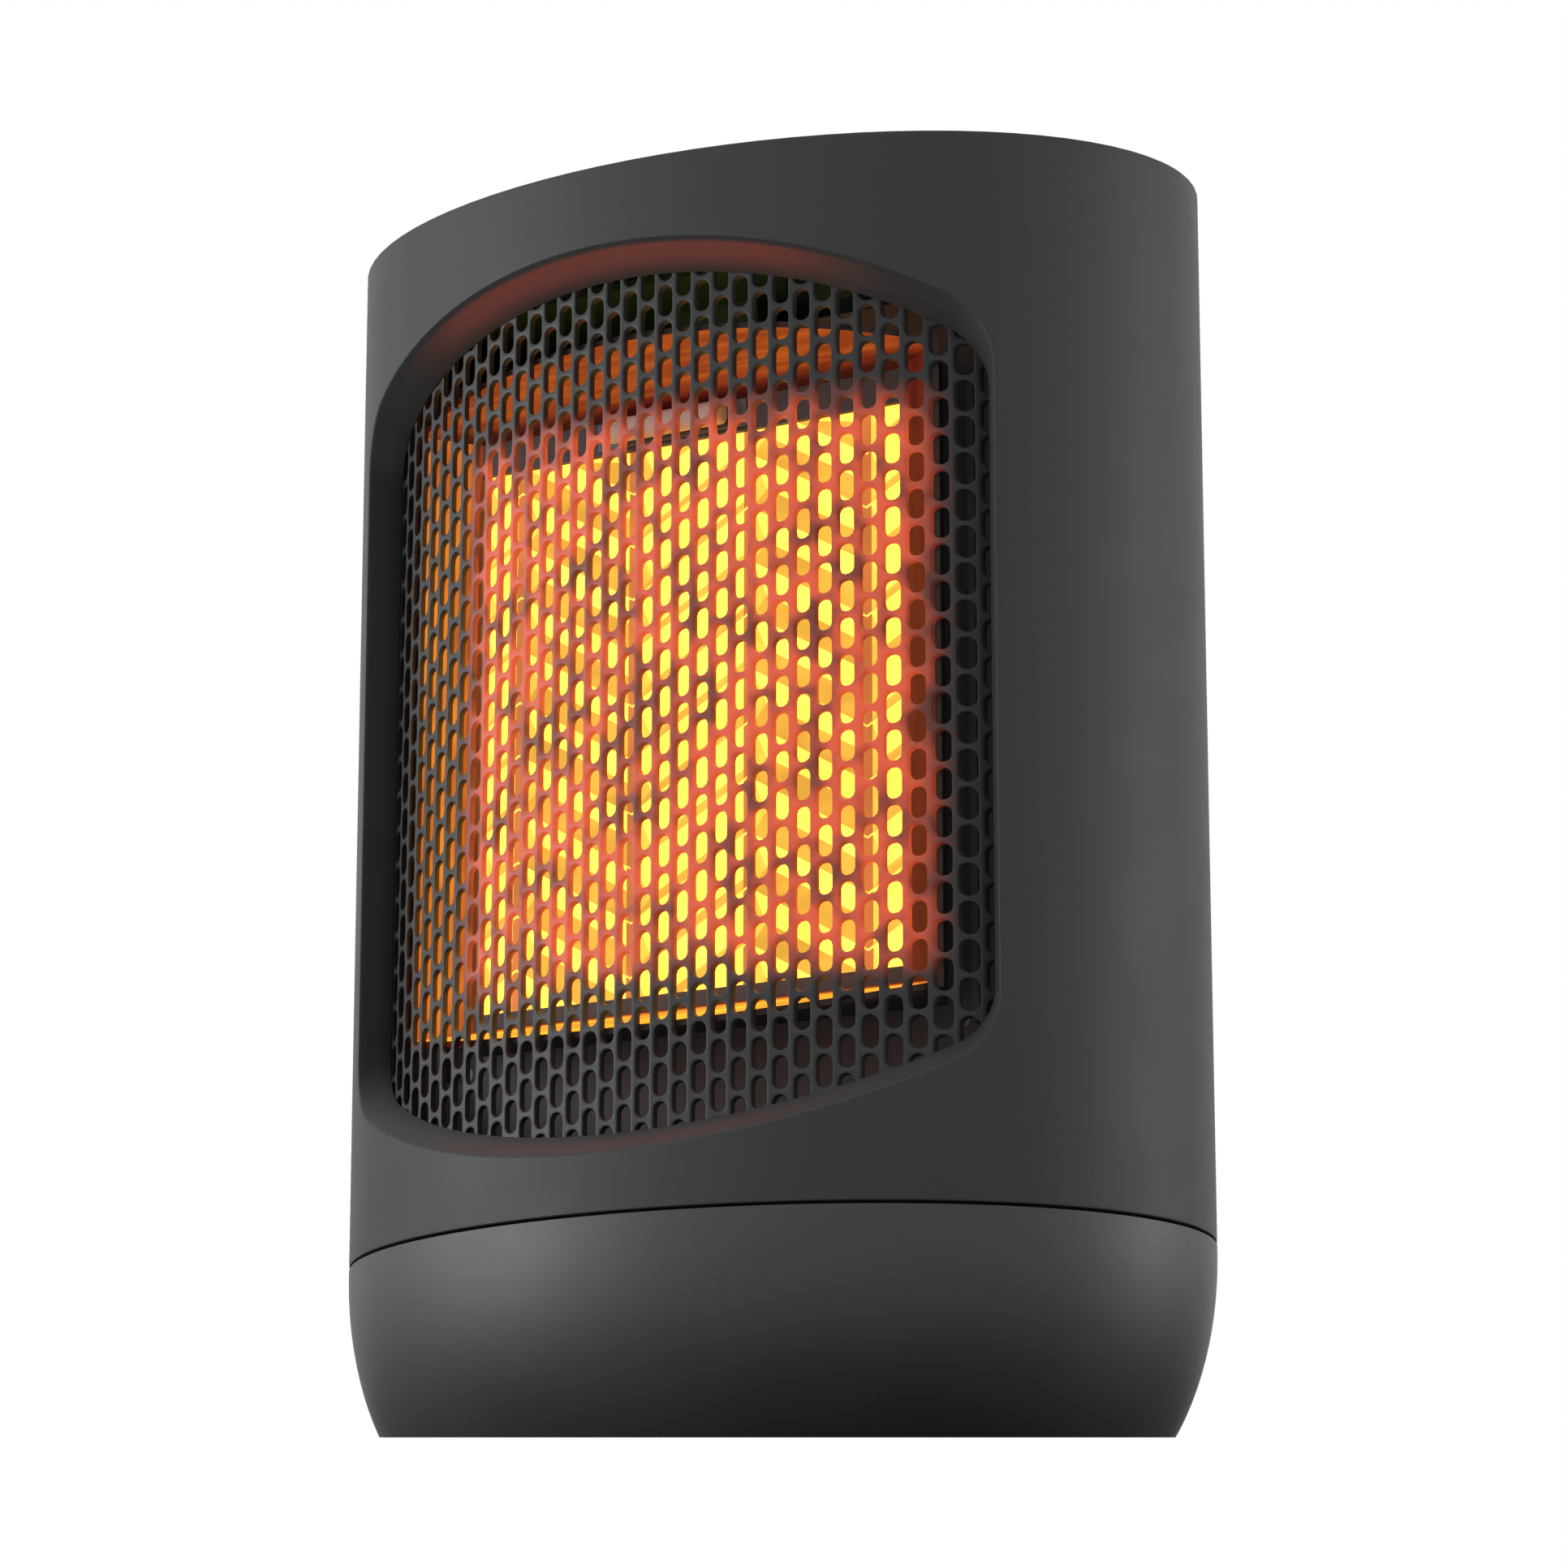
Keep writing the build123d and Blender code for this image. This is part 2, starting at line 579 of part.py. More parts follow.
with BuildPart() as hatch:
    with BuildSketch(Plane.XY.offset(FOOT_STAND)):
        Ellipse(hatch_opening[0] - FIT, hatch_opening[1] - FIT)
    extrude(amount=HATCH_THICKNESS)
    with Locations((plunger_x, plunger_y, hatch_top)):
        Cylinder(
            PLUNGER_RADIUS + RUNNING_FIT + PLUNGER_SLEEVE_WALL,
            PLUNGER_SLEEVE_HEIGHT,
            align=(Align.CENTER, Align.CENTER, Align.MIN),
        )
    with Locations((plunger_x, switch_back, hatch_top)):
        Box(
            TILT_SWITCH_SIZE[0],
            TILT_WALL,
            switch_top - hatch_top,
            align=(Align.CENTER, Align.MIN, Align.MIN),
        )
    with Locations((plunger_x, switch_back, sleeve_top)):
        Box(
            2 * (PLUNGER_FLANGE + TILT_CUTOUT_EDGE),
            4 * TILT_WALL,
            switch_bottom - sleeve_top,
            align=(Align.CENTER, Align.CENTER, Align.MIN),
            mode=Mode.SUBTRACT,
        )
    with Locations((plunger_x, plunger_y, 0)):
        Cylinder(PLUNGER_RADIUS + RUNNING_FIT, SEAM_HEIGHT, mode=Mode.SUBTRACT)
    with Locations(*[along_y(x, switch_back, z, 1) for x, z in switch_screw_spots]):
        Cylinder(SCREW_RADIUS, 4 * TILT_WALL, mode=Mode.SUBTRACT)
    with Locations(*[(x, y, FOOT_STAND) for x, y in hatch_screw_spots]):
        Cylinder(SCREW_RADIUS, 4 * HATCH_THICKNESS, mode=Mode.SUBTRACT)
        Cylinder(SCREW_HEAD + FIT, 2 * SCREW_RECESS, mode=Mode.SUBTRACT)

hatch_screw_seat = FOOT_STAND + SCREW_RECESS
with BuildPart() as hatch_screws:
    with Locations(*[Location((x, y, hatch_screw_seat), (180, 0, 0)) for x, y in hatch_screw_spots]):
        screw(HATCH_POST)

with BuildPart() as tilt_switch:
    with Locations((plunger_x, plunger_y, switch_bottom)):
        Box(*TILT_SWITCH_SIZE, align=(Align.CENTER, Align.CENTER, Align.MIN))
        Cylinder(TILT_SWITCH_BUTTON, 2 * TILT_SWITCH_BUTTON)
    with Locations(*[along_y(x, switch_back, z, 1) for x, z in switch_screw_spots]):
        Cylinder(SCREW_RADIUS, 4 * TILT_SWITCH_SIZE[1], mode=Mode.SUBTRACT)

with BuildPart() as tilt_switch_screws:
    with Locations(*[along_y(x, switch_back - TILT_SWITCH_SIZE[1], z, -1) for x, z in switch_screw_spots]):
        screw(TILT_SWITCH_SIZE[1] + TILT_WALL + SCREW_TIP)

with BuildPart() as tilt_plunger:
    with Locations((plunger_x, plunger_y, PLUNGER_STAND)):
        Cylinder(PLUNGER_RADIUS, plunger_top - PLUNGER_STAND, align=(Align.CENTER, Align.CENTER, Align.MIN))
    fillet(tilt_plunger.edges().group_by(Axis.Z)[0], PLUNGER_TIP_ROUND)
    with Locations((plunger_x, plunger_y, flange_bottom)):
        Cylinder(PLUNGER_FLANGE, PLUNGER_FLANGE_THICKNESS, align=(Align.CENTER, Align.CENTER, Align.MIN))

# Deck over the base, with the bearing for the swinging head and posts that carry the swing motor.
bush_outer = SPINDLE_RADIUS + RUNNING_FIT + BUSH_WALL
bush_bottom = DECK_TOP - BUSH_HEIGHT
ear_bottom = MOTOR_TOP - MOTOR_EAR_THICKNESS
motor_post_spots = [(PINION_X, -MOTOR_EAR_SPAN / 2), (PINION_X, MOTOR_EAR_SPAN / 2)]

with BuildPart() as base_deck:
    with BuildSketch(Plane.XY.offset(DECK_BOTTOM)):
        Ellipse(*base_radii(DECK_BOTTOM, SHELL_WALL + FIT))
    extrude(amount=DECK_THICKNESS)
    with BuildSketch(Plane.XY.offset(DECK_BOTTOM)):
        Circle(bush_outer + BUSH_WALL)
    extrude(amount=bush_bottom - DECK_BOTTOM)
    with BuildSketch(Plane.XY.offset(DECK_BOTTOM)):
        with Locations(*motor_post_spots):
            Circle(POST_RADIUS)
    extrude(amount=MOTOR_TOP - DECK_BOTTOM)
    Cylinder(bush_outer, 3 * SEAM_HEIGHT, mode=Mode.SUBTRACT)
    with Locations(*[(x, y, MOTOR_TOP) for x, y in motor_post_spots]):
        Cylinder(SCREW_RADIUS, 2 * POST_LENGTH, mode=Mode.SUBTRACT)
    with Locations(*[(x, y, DECK_TOP) for x, y in deck_screw_spots]):
        Cylinder(SCREW_RADIUS, 4 * DECK_THICKNESS, mode=Mode.SUBTRACT)

with BuildPart() as deck_screws:
    with Locations(*[(x, y, DECK_TOP) for x, y in deck_screw_spots]):
        screw(POST_LENGTH)

with BuildPart() as spindle_bush:
    with BuildSketch(Plane.XY.offset(bush_bottom)):
        Circle(bush_outer - FIT / 4)
        Circle(SPINDLE_RADIUS + RUNNING_FIT, mode=Mode.SUBTRACT)
    extrude(amount=BUSH_HEIGHT)
    with BuildSketch(Plane.XY.offset(DECK_TOP)):
        Circle(bush_outer + BUSH_WALL)
        Circle(SPINDLE_RADIUS + RUNNING_FIT, mode=Mode.SUBTRACT)
    extrude(amount=BUSH_FLANGE)

with BuildPart() as glide_ring:
    with BuildSketch(Plane.XY.offset(DECK_TOP)):
        Circle(GLIDE_RING_RADIUS + GLIDE_RING_WIDTH / 2)
        Circle(GLIDE_RING_RADIUS - GLIDE_RING_WIDTH / 2, mode=Mode.SUBTRACT)
    extrude(amount=HEAD_BOTTOM - DECK_TOP - CLEARANCE)

# Swing motor, its shaft and the pinion on it.
with BuildPart() as swing_motor:
    with Locations((PINION_X, 0, MOTOR_TOP)):
        Cylinder(SWING_MOTOR_RADIUS, SWING_MOTOR_HEIGHT, align=(Align.CENTER, Align.CENTER, Align.MAX))
        Box(
            MOTOR_EAR_WIDTH,
            MOTOR_EAR_SPAN + MOTOR_EAR_WIDTH,
            MOTOR_EAR_THICKNESS,
            align=(Align.CENTER, Align.CENTER, Align.MAX),
        )
        Cylinder(PINION_SHAFT_RADIUS + RUNNING_FIT, SWING_MOTOR_HEIGHT, mode=Mode.SUBTRACT)
    with Locations(*[(x, y, MOTOR_TOP) for x, y in motor_post_spots]):
        Cylinder(SCREW_RADIUS, 4 * MOTOR_EAR_THICKNESS, mode=Mode.SUBTRACT)

with BuildPart() as swing_motor_screws:
    with Locations(*[Location((x, y, ear_bottom), (180, 0, 0)) for x, y in motor_post_spots]):
        screw(MOTOR_EAR_THICKNESS + POST_LENGTH - SCREW_TIP)

pinion_top = PINION_BOTTOM + PINION_THICKNESS
with BuildPart() as swing_motor_shaft:
    with Locations((PINION_X, 0, MOTOR_TOP - SWING_MOTOR_HEIGHT / 2 + CLEARANCE)):
        Cylinder(
            PINION_SHAFT_RADIUS,
            pinion_top - MOTOR_TOP + SWING_MOTOR_HEIGHT / 2 - CLEARANCE,
            align=(Align.CENTER, Align.CENTER, Align.MIN),
        )

with BuildPart() as swing_pinion:
    with BuildSketch(Plane(origin=(PINION_X, 0, PINION_BOTTOM))):
        with BuildLine():
            Polyline(*gear_points(PINION_TEETH, 0), close=True)
        make_face()
        Circle(PINION_SHAFT_RADIUS + FIT / 4, mode=Mode.SUBTRACT)
    extrude(amount=PINION_THICKNESS)

# Terminal block and the inlet for the supply lead.
with BuildPart() as terminal_block:
    terminal_y = (hatch_lap[1] + base_radii(base_floor_top)[1]) / 2 + TERMINAL_SHIFT
    with Locations((0, terminal_y, base_floor_top)):
        Box(*TERMINAL_SIZE, align=(Align.CENTER, Align.CENTER, Align.MIN))
        with Locations((0, 0, TERMINAL_SIZE[2])):
            with GridLocations(TERMINAL_PITCH, 1, 3, 1):
                Cylinder(TERMINAL_HOLE[0], 2 * TERMINAL_HOLE[1], mode=Mode.SUBTRACT)

with BuildPart() as cable_gland:
    with Locations(along_y(0, inlet_face, INLET_HEIGHT, 1)):
        Cylinder(INLET_FLANGE, INLET_FLANGE_THICKNESS, align=(Align.CENTER, Align.CENTER, Align.MIN))
        Cylinder(
            INLET_NECK,
            SHELL_WALL + INLET_NUT_THICKNESS + INLET_THREAD_END,
            align=(Align.CENTER, Align.CENTER, Align.MAX),
        )
        Cylinder(INLET_BORE, BODY_DEPTH / 2, mode=Mode.SUBTRACT)

with BuildPart() as gland_nut:
    with BuildSketch(Plane.XZ.offset(-inlet_back)):
        with Locations((0, INLET_HEIGHT)):
            RegularPolygon(INLET_NUT_RADIUS, 6)
            Circle(INLET_NECK + FIT / 2, mode=Mode.SUBTRACT)
    extrude(amount=INLET_NUT_THICKNESS)

# Head shell: an oval sleeve with the drafted window, the rear intake and two ledges.
floor_top = HEAD_BOTTOM + HEAD_PLATE
floor_screw_spots = oval_spots(head_radii(SEAM_HEIGHT), POST_INSET, (40, 140, 220, 320))
panel_screw_spots = oval_spots(head_radii(RIM_HEIGHT), POST_INSET, (28, 152, 208, 332))
opening_low = window_section(-oval_y(0, GRILLE_SETBACK))[1]
opening_high = window_section(-oval_y(0, GRILLE_SETBACK))[2]
grille_low = opening_low - GRILLE_MARGIN
grille_high = opening_high + GRILLE_MARGIN
grille_screw_spots = [grille_low - GRILLE_TAB / 2, grille_high + GRILLE_TAB / 2]
window_back_y = -oval_y(WINDOW_HALF_WIDTH, GRILLE_SETBACK) + 2
intake_middle = SEAM_HEIGHT + (INTAKE_LOW + INTAKE_HIGH) / 2
intake_height = INTAKE_HIGH - INTAKE_LOW

with BuildPart() as window_lip:
    add(head_column(SEAM_HEIGHT, RIM_HEIGHT, SHELL_WALL / 2))
    with BuildSketch(Plane.XY.offset(SEAM_HEIGHT)):
        Ellipse(BODY_WIDTH / 2 - GRILLE_SETBACK, BODY_DEPTH / 2 - GRILLE_SETBACK)
    extrude(amount=HEAD_HEIGHT, mode=Mode.SUBTRACT)
    add(window_funnel(-BODY_DEPTH / 2 - 1, window_back_y, REVEAL_LIP), mode=Mode.INTERSECT)

with BuildPart() as head_shell:
    add(head_column(HEAD_BOTTOM, TOP_STOCK, 0))
    add(head_column(HEAD_BOTTOM, TOP_STOCK, SHELL_WALL), mode=Mode.SUBTRACT)
    add(head_ledge(Plane.XY.offset(floor_top + LEDGE), LEDGE))
    add(head_ledge(PANEL_BOTTOM, LEDGE))
    add(window_lip.part)
    with Locations(*[(x, y, floor_top) for x, y in floor_screw_spots]):
        Cylinder(POST_RADIUS, POST_FLOOR_LENGTH, align=(Align.CENTER, Align.CENTER, Align.MIN))
    with Locations(PANEL_BOTTOM.location):
        with Locations(*[(x, y, 0) for x, y in panel_screw_spots]):
            Cylinder(POST_RADIUS, POST_PANEL_LENGTH, align=(Align.CENTER, Align.CENTER, Align.MAX))
    with Locations(*[along_y(0, -oval_y(0, GRILLE_SETBACK), z, -1) for z in grille_screw_spots]):
        Cylinder(
            SCREW_RADIUS + GRILLE_BOSS_WALL,
            GRILLE_SETBACK - SHELL_WALL / 2,
            align=(Align.CENTER, Align.CENTER, Align.MIN),
        )
    add(window_funnel(-BODY_DEPTH / 2 - 1, window_back_y), mode=Mode.SUBTRACT)
    with BuildSketch(Plane.XZ):
        with Locations((0, intake_middle)):
            RectangleRounded(INTAKE_WIDTH, intake_height, INTAKE_CORNER)
    extrude(amount=-BODY_DEPTH, mode=Mode.SUBTRACT)
    with Locations(*[(x, y, floor_top) for x, y in floor_screw_spots]):
        Cylinder(SCREW_RADIUS, 2 * (POST_FLOOR_LENGTH - SCREW_TIP), mode=Mode.SUBTRACT)
    with Locations(PANEL_BOTTOM.location):
        with Locations(*[(x, y, 0) for x, y in panel_screw_spots]):
            Cylinder(SCREW_RADIUS, 2 * POST_LENGTH, mode=Mode.SUBTRACT)
    with Locations(*[along_y(0, -oval_y(0, GRILLE_SETBACK), z, -1) for z in grille_screw_spots]):
        Cylinder(SCREW_RADIUS, 2 * (GRILLE_SETBACK - SHELL_WALL) - SCREW_FLOOR, mode=Mode.SUBTRACT)
    with BuildSketch(RIM_PLANE):
        Rectangle(2 * BODY_WIDTH, 2 * BODY_WIDTH)
    extrude(amount=BODY_DEPTH, mode=Mode.SUBTRACT)

# Floor plate of the head, with the spindle, gear and clip that hold it on the base.
spindle_screw_circle = (SPINDLE_RADIUS + SPINDLE_FLANGE) / 2
chassis_screw_y = BAFFLE_Y + BAFFLE_FOOT[1] / 2 + 1
with BuildPart() as head_floor:
    with BuildSketch(Plane.XY.offset(HEAD_BOTTOM)):
        Ellipse(*head_radii(HEAD_BOTTOM, SHELL_WALL + FIT))
        Circle(SPINDLE_RADIUS + FIT / 2, mode=Mode.SUBTRACT)
    extrude(amount=HEAD_PLATE)
    with Locations((0, 0, floor_top)):
        with PolarLocations(spindle_screw_circle, 4):
            Cylinder(SCREW_RADIUS, 2 * (HEAD_PLATE - SCREW_FLOOR), mode=Mode.SUBTRACT)
    with Locations((0, chassis_screw_y, floor_top)):
        with GridLocations(BAFFLE_FOOT_SPACING, 1, 2, 1):
            Cylinder(SCREW_RADIUS, 2 * (HEAD_PLATE - SCREW_FLOOR), mode=Mode.SUBTRACT)
    with Locations(*[(x, y, HEAD_BOTTOM) for x, y in floor_screw_spots]):
        Cylinder(SCREW_RADIUS, 4 * HEAD_PLATE, mode=Mode.SUBTRACT)
        Cylinder(SCREW_HEAD + FIT, 2 * (SCREW_HEAD_HEIGHT + FIT), mode=Mode.SUBTRACT)

floor_screw_seat = HEAD_BOTTOM + SCREW_HEAD_HEIGHT + FIT
with BuildPart() as floor_screws:
    with Locations(*[Location((x, y, floor_screw_seat), (180, 0, 0)) for x, y in floor_screw_spots]):
        screw(HEAD_PLATE + 2 * SCREW_TIP)

clip_top = GEAR_BOTTOM
clip_bottom = clip_top - CLIP_THICKNESS
with BuildPart() as swing_spindle:
    with BuildSketch(Plane.XY.offset(floor_top)):
        Circle(SPINDLE_FLANGE)
    extrude(amount=SPINDLE_FLANGE_THICKNESS)
    with BuildSketch(Plane.XY.offset(floor_top)):
        Circle(SPINDLE_RADIUS)
    extrude(amount=SPINDLE_END - floor_top)
    with BuildSketch(Plane.XY.offset(clip_bottom)):
        Circle(2 * SPINDLE_RADIUS)
        Circle(SPINDLE_RADIUS - CLIP_GROOVE, mode=Mode.SUBTRACT)
    extrude(amount=CLIP_THICKNESS, mode=Mode.SUBTRACT)
    Cylinder(SPINDLE_BORE, 3 * SEAM_HEIGHT, mode=Mode.SUBTRACT)
    with Locations((0, 0, floor_top)):
        with PolarLocations(spindle_screw_circle, 4):
            Cylinder(SCREW_RADIUS, 4 * SPINDLE_FLANGE_THICKNESS, mode=Mode.SUBTRACT)

with BuildPart() as spindle_screws:
    with Locations((0, 0, floor_top + SPINDLE_FLANGE_THICKNESS)):
        with PolarLocations(spindle_screw_circle, 4):
            screw(SPINDLE_FLANGE_THICKNESS + HEAD_PLATE - SCREW_FLOOR - FIT)

with BuildPart() as swing_gear:
    with BuildSketch(Plane.XY.offset(GEAR_BOTTOM)):
        with BuildLine():
            Polyline(*gear_points(GEAR_TEETH, 180 / GEAR_TEETH), close=True)
        make_face()
        with PolarLocations((GEAR_HUB_RADIUS + GEAR_MODULE * GEAR_TEETH / 2) / 2, GEAR_HOLES):
            Circle(GEAR_HOLE_RADIUS, mode=Mode.SUBTRACT)
    extrude(amount=GEAR_THICKNESS)
    with BuildSketch(Plane.XY.offset(GEAR_BOTTOM)):
        Circle(GEAR_HUB_RADIUS)
    extrude(amount=bush_bottom - CLEARANCE - GEAR_BOTTOM)
    Cylinder(SPINDLE_RADIUS + FIT / 4, 3 * SEAM_HEIGHT, mode=Mode.SUBTRACT)

with BuildPart() as spindle_clip:
    with BuildSketch(Plane.XY.offset(clip_bottom)):
        Circle(SPINDLE_RADIUS + CLIP_REACH)
        Circle(SPINDLE_RADIUS - CLIP_GROOVE + FIT / 4, mode=Mode.SUBTRACT)
        with Locations((0, -SPINDLE_RADIUS)):
            Rectangle(SPINDLE_RADIUS, 2 * SPINDLE_RADIUS - 6, mode=Mode.SUBTRACT)
    extrude(amount=CLIP_THICKNESS)

# Front grille: upright facets that follow the oval, fixed by a tab above and a tab below.
grille_slots = {
    "width": SLOT_WIDTH,
    "length": ROW_PITCH - SLOT_BRIDGE,
    "pitch": ROW_PITCH,
    "rows": GRILLE_ROWS,
    "middle": SEAM_HEIGHT + ROW_PHASE + (GRILLE_ROWS - 3) / 2 * ROW_PITCH,
    "shift": ROW_PITCH / 2,
    "margin": GRILLE_MARGIN / 2,
    "tab": GRILLE_TAB,
    "tab_columns": 1,
}
with BuildPart() as front_grille:
    add(
        slotted_skin(
            -1,
            GRILLE_SETBACK,
            GRILLE_THICKNESS,
            (-GRILLE_COLUMNS, GRILLE_COLUMNS, COLUMN_PHASE),
            COLUMN_PITCH,
            grille_low,
            grille_high,
            grille_slots,
        )
    )
    with Locations(*[along_y(0, -oval_y(0, GRILLE_SETBACK), z, 1) for z in grille_screw_spots]):
        Cylinder(SCREW_RADIUS, 4 * GRILLE_THICKNESS, mode=Mode.SUBTRACT)

grille_back_y = -oval_y(0, GRILLE_SETBACK) + GRILLE_THICKNESS + FIT / 2
with BuildPart() as grille_screws:
    with Locations(*[along_y(0, grille_back_y, z, 1) for z in grille_screw_spots]):
        screw(GRILLE_THICKNESS + 3 * SCREW_TIP)

# Reflector that spreads the warm air from the heating unit to the grille.
with BuildPart() as reflector:
    add(reflector_funnel(REFLECTOR_WALL))
    add(reflector_funnel(0), mode=Mode.SUBTRACT)
    with BuildSketch(Plane.XY.offset(SEAM_HEIGHT)):
        inset = GRILLE_SETBACK + GRILLE_THICKNESS + FIT
        Ellipse(BODY_WIDTH / 2 - inset, BODY_DEPTH / 2 - inset)
    extrude(amount=HEAD_HEIGHT, mode=Mode.INTERSECT)

# Heating unit: a frame round a block of herringbone fins with ceramic heating bars behind it.
glow_low = GLOW_MIDDLE - GLOW_HEIGHT / 2
glow_high = GLOW_MIDDLE + GLOW_HEIGHT / 2
frame_low = glow_low - FRAME_BOTTOM_BAR
frame_high = glow_high + FRAME_TOP_BAR
frame_side = GLOW_WIDTH / 2 + FRAME_SIDE_BAR
frame_middle = (frame_low + frame_high) / 2
frame_height = frame_high - frame_low
cavity_width = GLOW_WIDTH + 2 * FRAME_LAP
cavity_height = GLOW_HEIGHT + 2 * FRAME_LAP
flange_side = frame_side + FRAME_FLANGE
flange_height = frame_height + 2 * FRAME_FLANGE
flange_back = BAFFLE_Y + FRAME_FLANGE_THICKNESS
flange_screw_spots = []
for side_x in (-1, 1):
    for side_z in (-1, 1):
        spot_x = side_x * (frame_side + FRAME_FLANGE / 2)
        spot_z = frame_middle + side_z * (frame_height + FRAME_FLANGE) / 2
        flange_screw_spots.append((spot_x, spot_z))

with BuildPart() as element_frame:
    with BuildSketch(Plane.XZ.offset(-ELEMENT_FRONT)):
        with Locations((0, frame_middle)):
            Rectangle(2 * frame_side, frame_height)
    extrude(amount=-ELEMENT_DEPTH)
    with BuildSketch(Plane.XZ.offset(-BAFFLE_Y)):
        with Locations((0, frame_middle)):
            RectangleRounded(2 * flange_side, flange_height, FRAME_FLANGE / 2)
        with Locations(*flange_screw_spots):
            Circle(SCREW_RADIUS, mode=Mode.SUBTRACT)
    extrude(amount=-FRAME_FLANGE_THICKNESS)
    with BuildSketch(Plane.XZ.offset(-ELEMENT_FRONT)):
        with Locations((0, GLOW_MIDDLE)):
            Rectangle(GLOW_WIDTH, GLOW_HEIGHT)
    extrude(amount=-ELEMENT_DEPTH, mode=Mode.SUBTRACT)
    with BuildSketch(Plane.XZ.offset(-(ELEMENT_FRONT + FRAME_FACE))):
        with Locations((0, GLOW_MIDDLE)):
            Rectangle(cavity_width, cavity_height)
    extrude(amount=-ELEMENT_DEPTH, mode=Mode.SUBTRACT)

block_width = cavity_width - FIT
block_height = cavity_height - FIT
fin_front = ELEMENT_FRONT + FRAME_FACE + FIT / 2
fin_back = fin_front + FIN_DEPTH
fin_swing = PTC_BAR_PITCH * tan(radians(FIN_SLOPE)) / 2
fin_half = FIN_THICKNESS / 2 / cos(radians(FIN_SLOPE))
spine_spots = [(k - (PTC_BARS - 1) / 2) * PTC_BAR_PITCH for k in range(PTC_BARS)]
fin_folds = [(spine_spots[0] - PTC_BAR_PITCH / 2, 0)]
for k, spot in enumerate(spine_spots):
    fin_folds.append((spot, -fin_swing if k % 2 else fin_swing))
fin_folds.append((spine_spots[-1] + PTC_BAR_PITCH / 2, 0))
fin_count = int((cavity_height / 2 + fin_swing) / FIN_PITCH) + 1

with BuildPart() as heater_fins:
    with BuildSketch(Plane.XZ.offset(-fin_front)):
        with Locations((0, GLOW_MIDDLE)):
            Rectangle(block_width, block_height)
            Rectangle(block_width - 2 * FIN_THICKNESS, block_height - 2 * FIN_THICKNESS, mode=Mode.SUBTRACT)
        for k in range(-fin_count, fin_count + 1):
            height = GLOW_MIDDLE + k * FIN_PITCH
            upper = [(x, height + rise + fin_half) for x, rise in fin_folds]
            lower = [(x, height + rise - fin_half) for x, rise in reversed(fin_folds)]
            with BuildLine():
                Polyline(*upper, *lower, close=True)
            make_face()
        with Locations(*[(x, GLOW_MIDDLE) for x in spine_spots]):
            Rectangle(SPINE_WIDTH, cavity_height)
        with Locations((0, GLOW_MIDDLE)):
            Rectangle(block_width, block_height, mode=Mode.INTERSECT)
    extrude(amount=-FIN_DEPTH)

with BuildPart() as ptc_bars:
    with BuildSketch(Plane.XZ.offset(-fin_back)):
        with Locations(*[(x, GLOW_MIDDLE) for x in spine_spots]):
            Rectangle(PTC_BAR_WIDTH, GLOW_HEIGHT)
    extrude(amount=-PTC_BAR_THICKNESS)

with BuildPart() as terminal_tabs:
    with Locations((0, fin_back + PTC_BAR_THICKNESS, frame_low)):
        with GridLocations(TAB_SPACING, 1, 2, 1):
            Box(*TAB_SIZE, align=(Align.CENTER, Align.CENTER, Align.MAX))

fuse_height = (glow_high + SEAM_HEIGHT + REFLECTOR_BACK_TOP) / 2
with BuildPart() as fuse_bracket:
    with Locations((FUSE_PLACE, ELEMENT_FRONT, fuse_height)):
        Box(*FUSE_BRACKET, align=(Align.CENTER, Align.MAX, Align.CENTER))

with BuildPart() as thermal_fuse:
    with Locations((FUSE_PLACE, ELEMENT_FRONT - FUSE_BRACKET[1] - FUSE_RADIUS, fuse_height)):
        Cylinder(FUSE_RADIUS, FUSE_LENGTH, rotation=(0, 90, 0))
    chamfer(thermal_fuse.edges().filter_by(GeomType.CIRCLE), FUSE_CHAMFER)

# Upright baffle that carries the heating unit and the fan, on two feet.
duct_side = flange_side + DUCT_MARGIN
duct_height = flange_height + 2 * DUCT_MARGIN
baffle_front = BAFFLE_Y - BAFFLE_THICKNESS
baffle_side = head_radii(SEAM_HEIGHT)[0] - SHELL_WALL
baffle_side = baffle_side * sqrt(1 - (baffle_front / (BODY_DEPTH / 2 - SHELL_WALL)) ** 2) - BAFFLE_EDGE
baffle_low = floor_top + LEDGE + BAFFLE_EDGE / 2
baffle_high = SEAM_HEIGHT + BAFFLE_TOP
ear_spots = []
for side_x in (-1, 1):
    for side_z in (-1, 1):
        spot_x = side_x * (duct_side + SHROUD_WALL + SHROUD_EAR - SHROUD_EAR_LAP)
        ear_spots.append((spot_x, frame_middle + side_z * duct_height / 3))
foot_width, foot_depth, foot_thickness = BAFFLE_FOOT

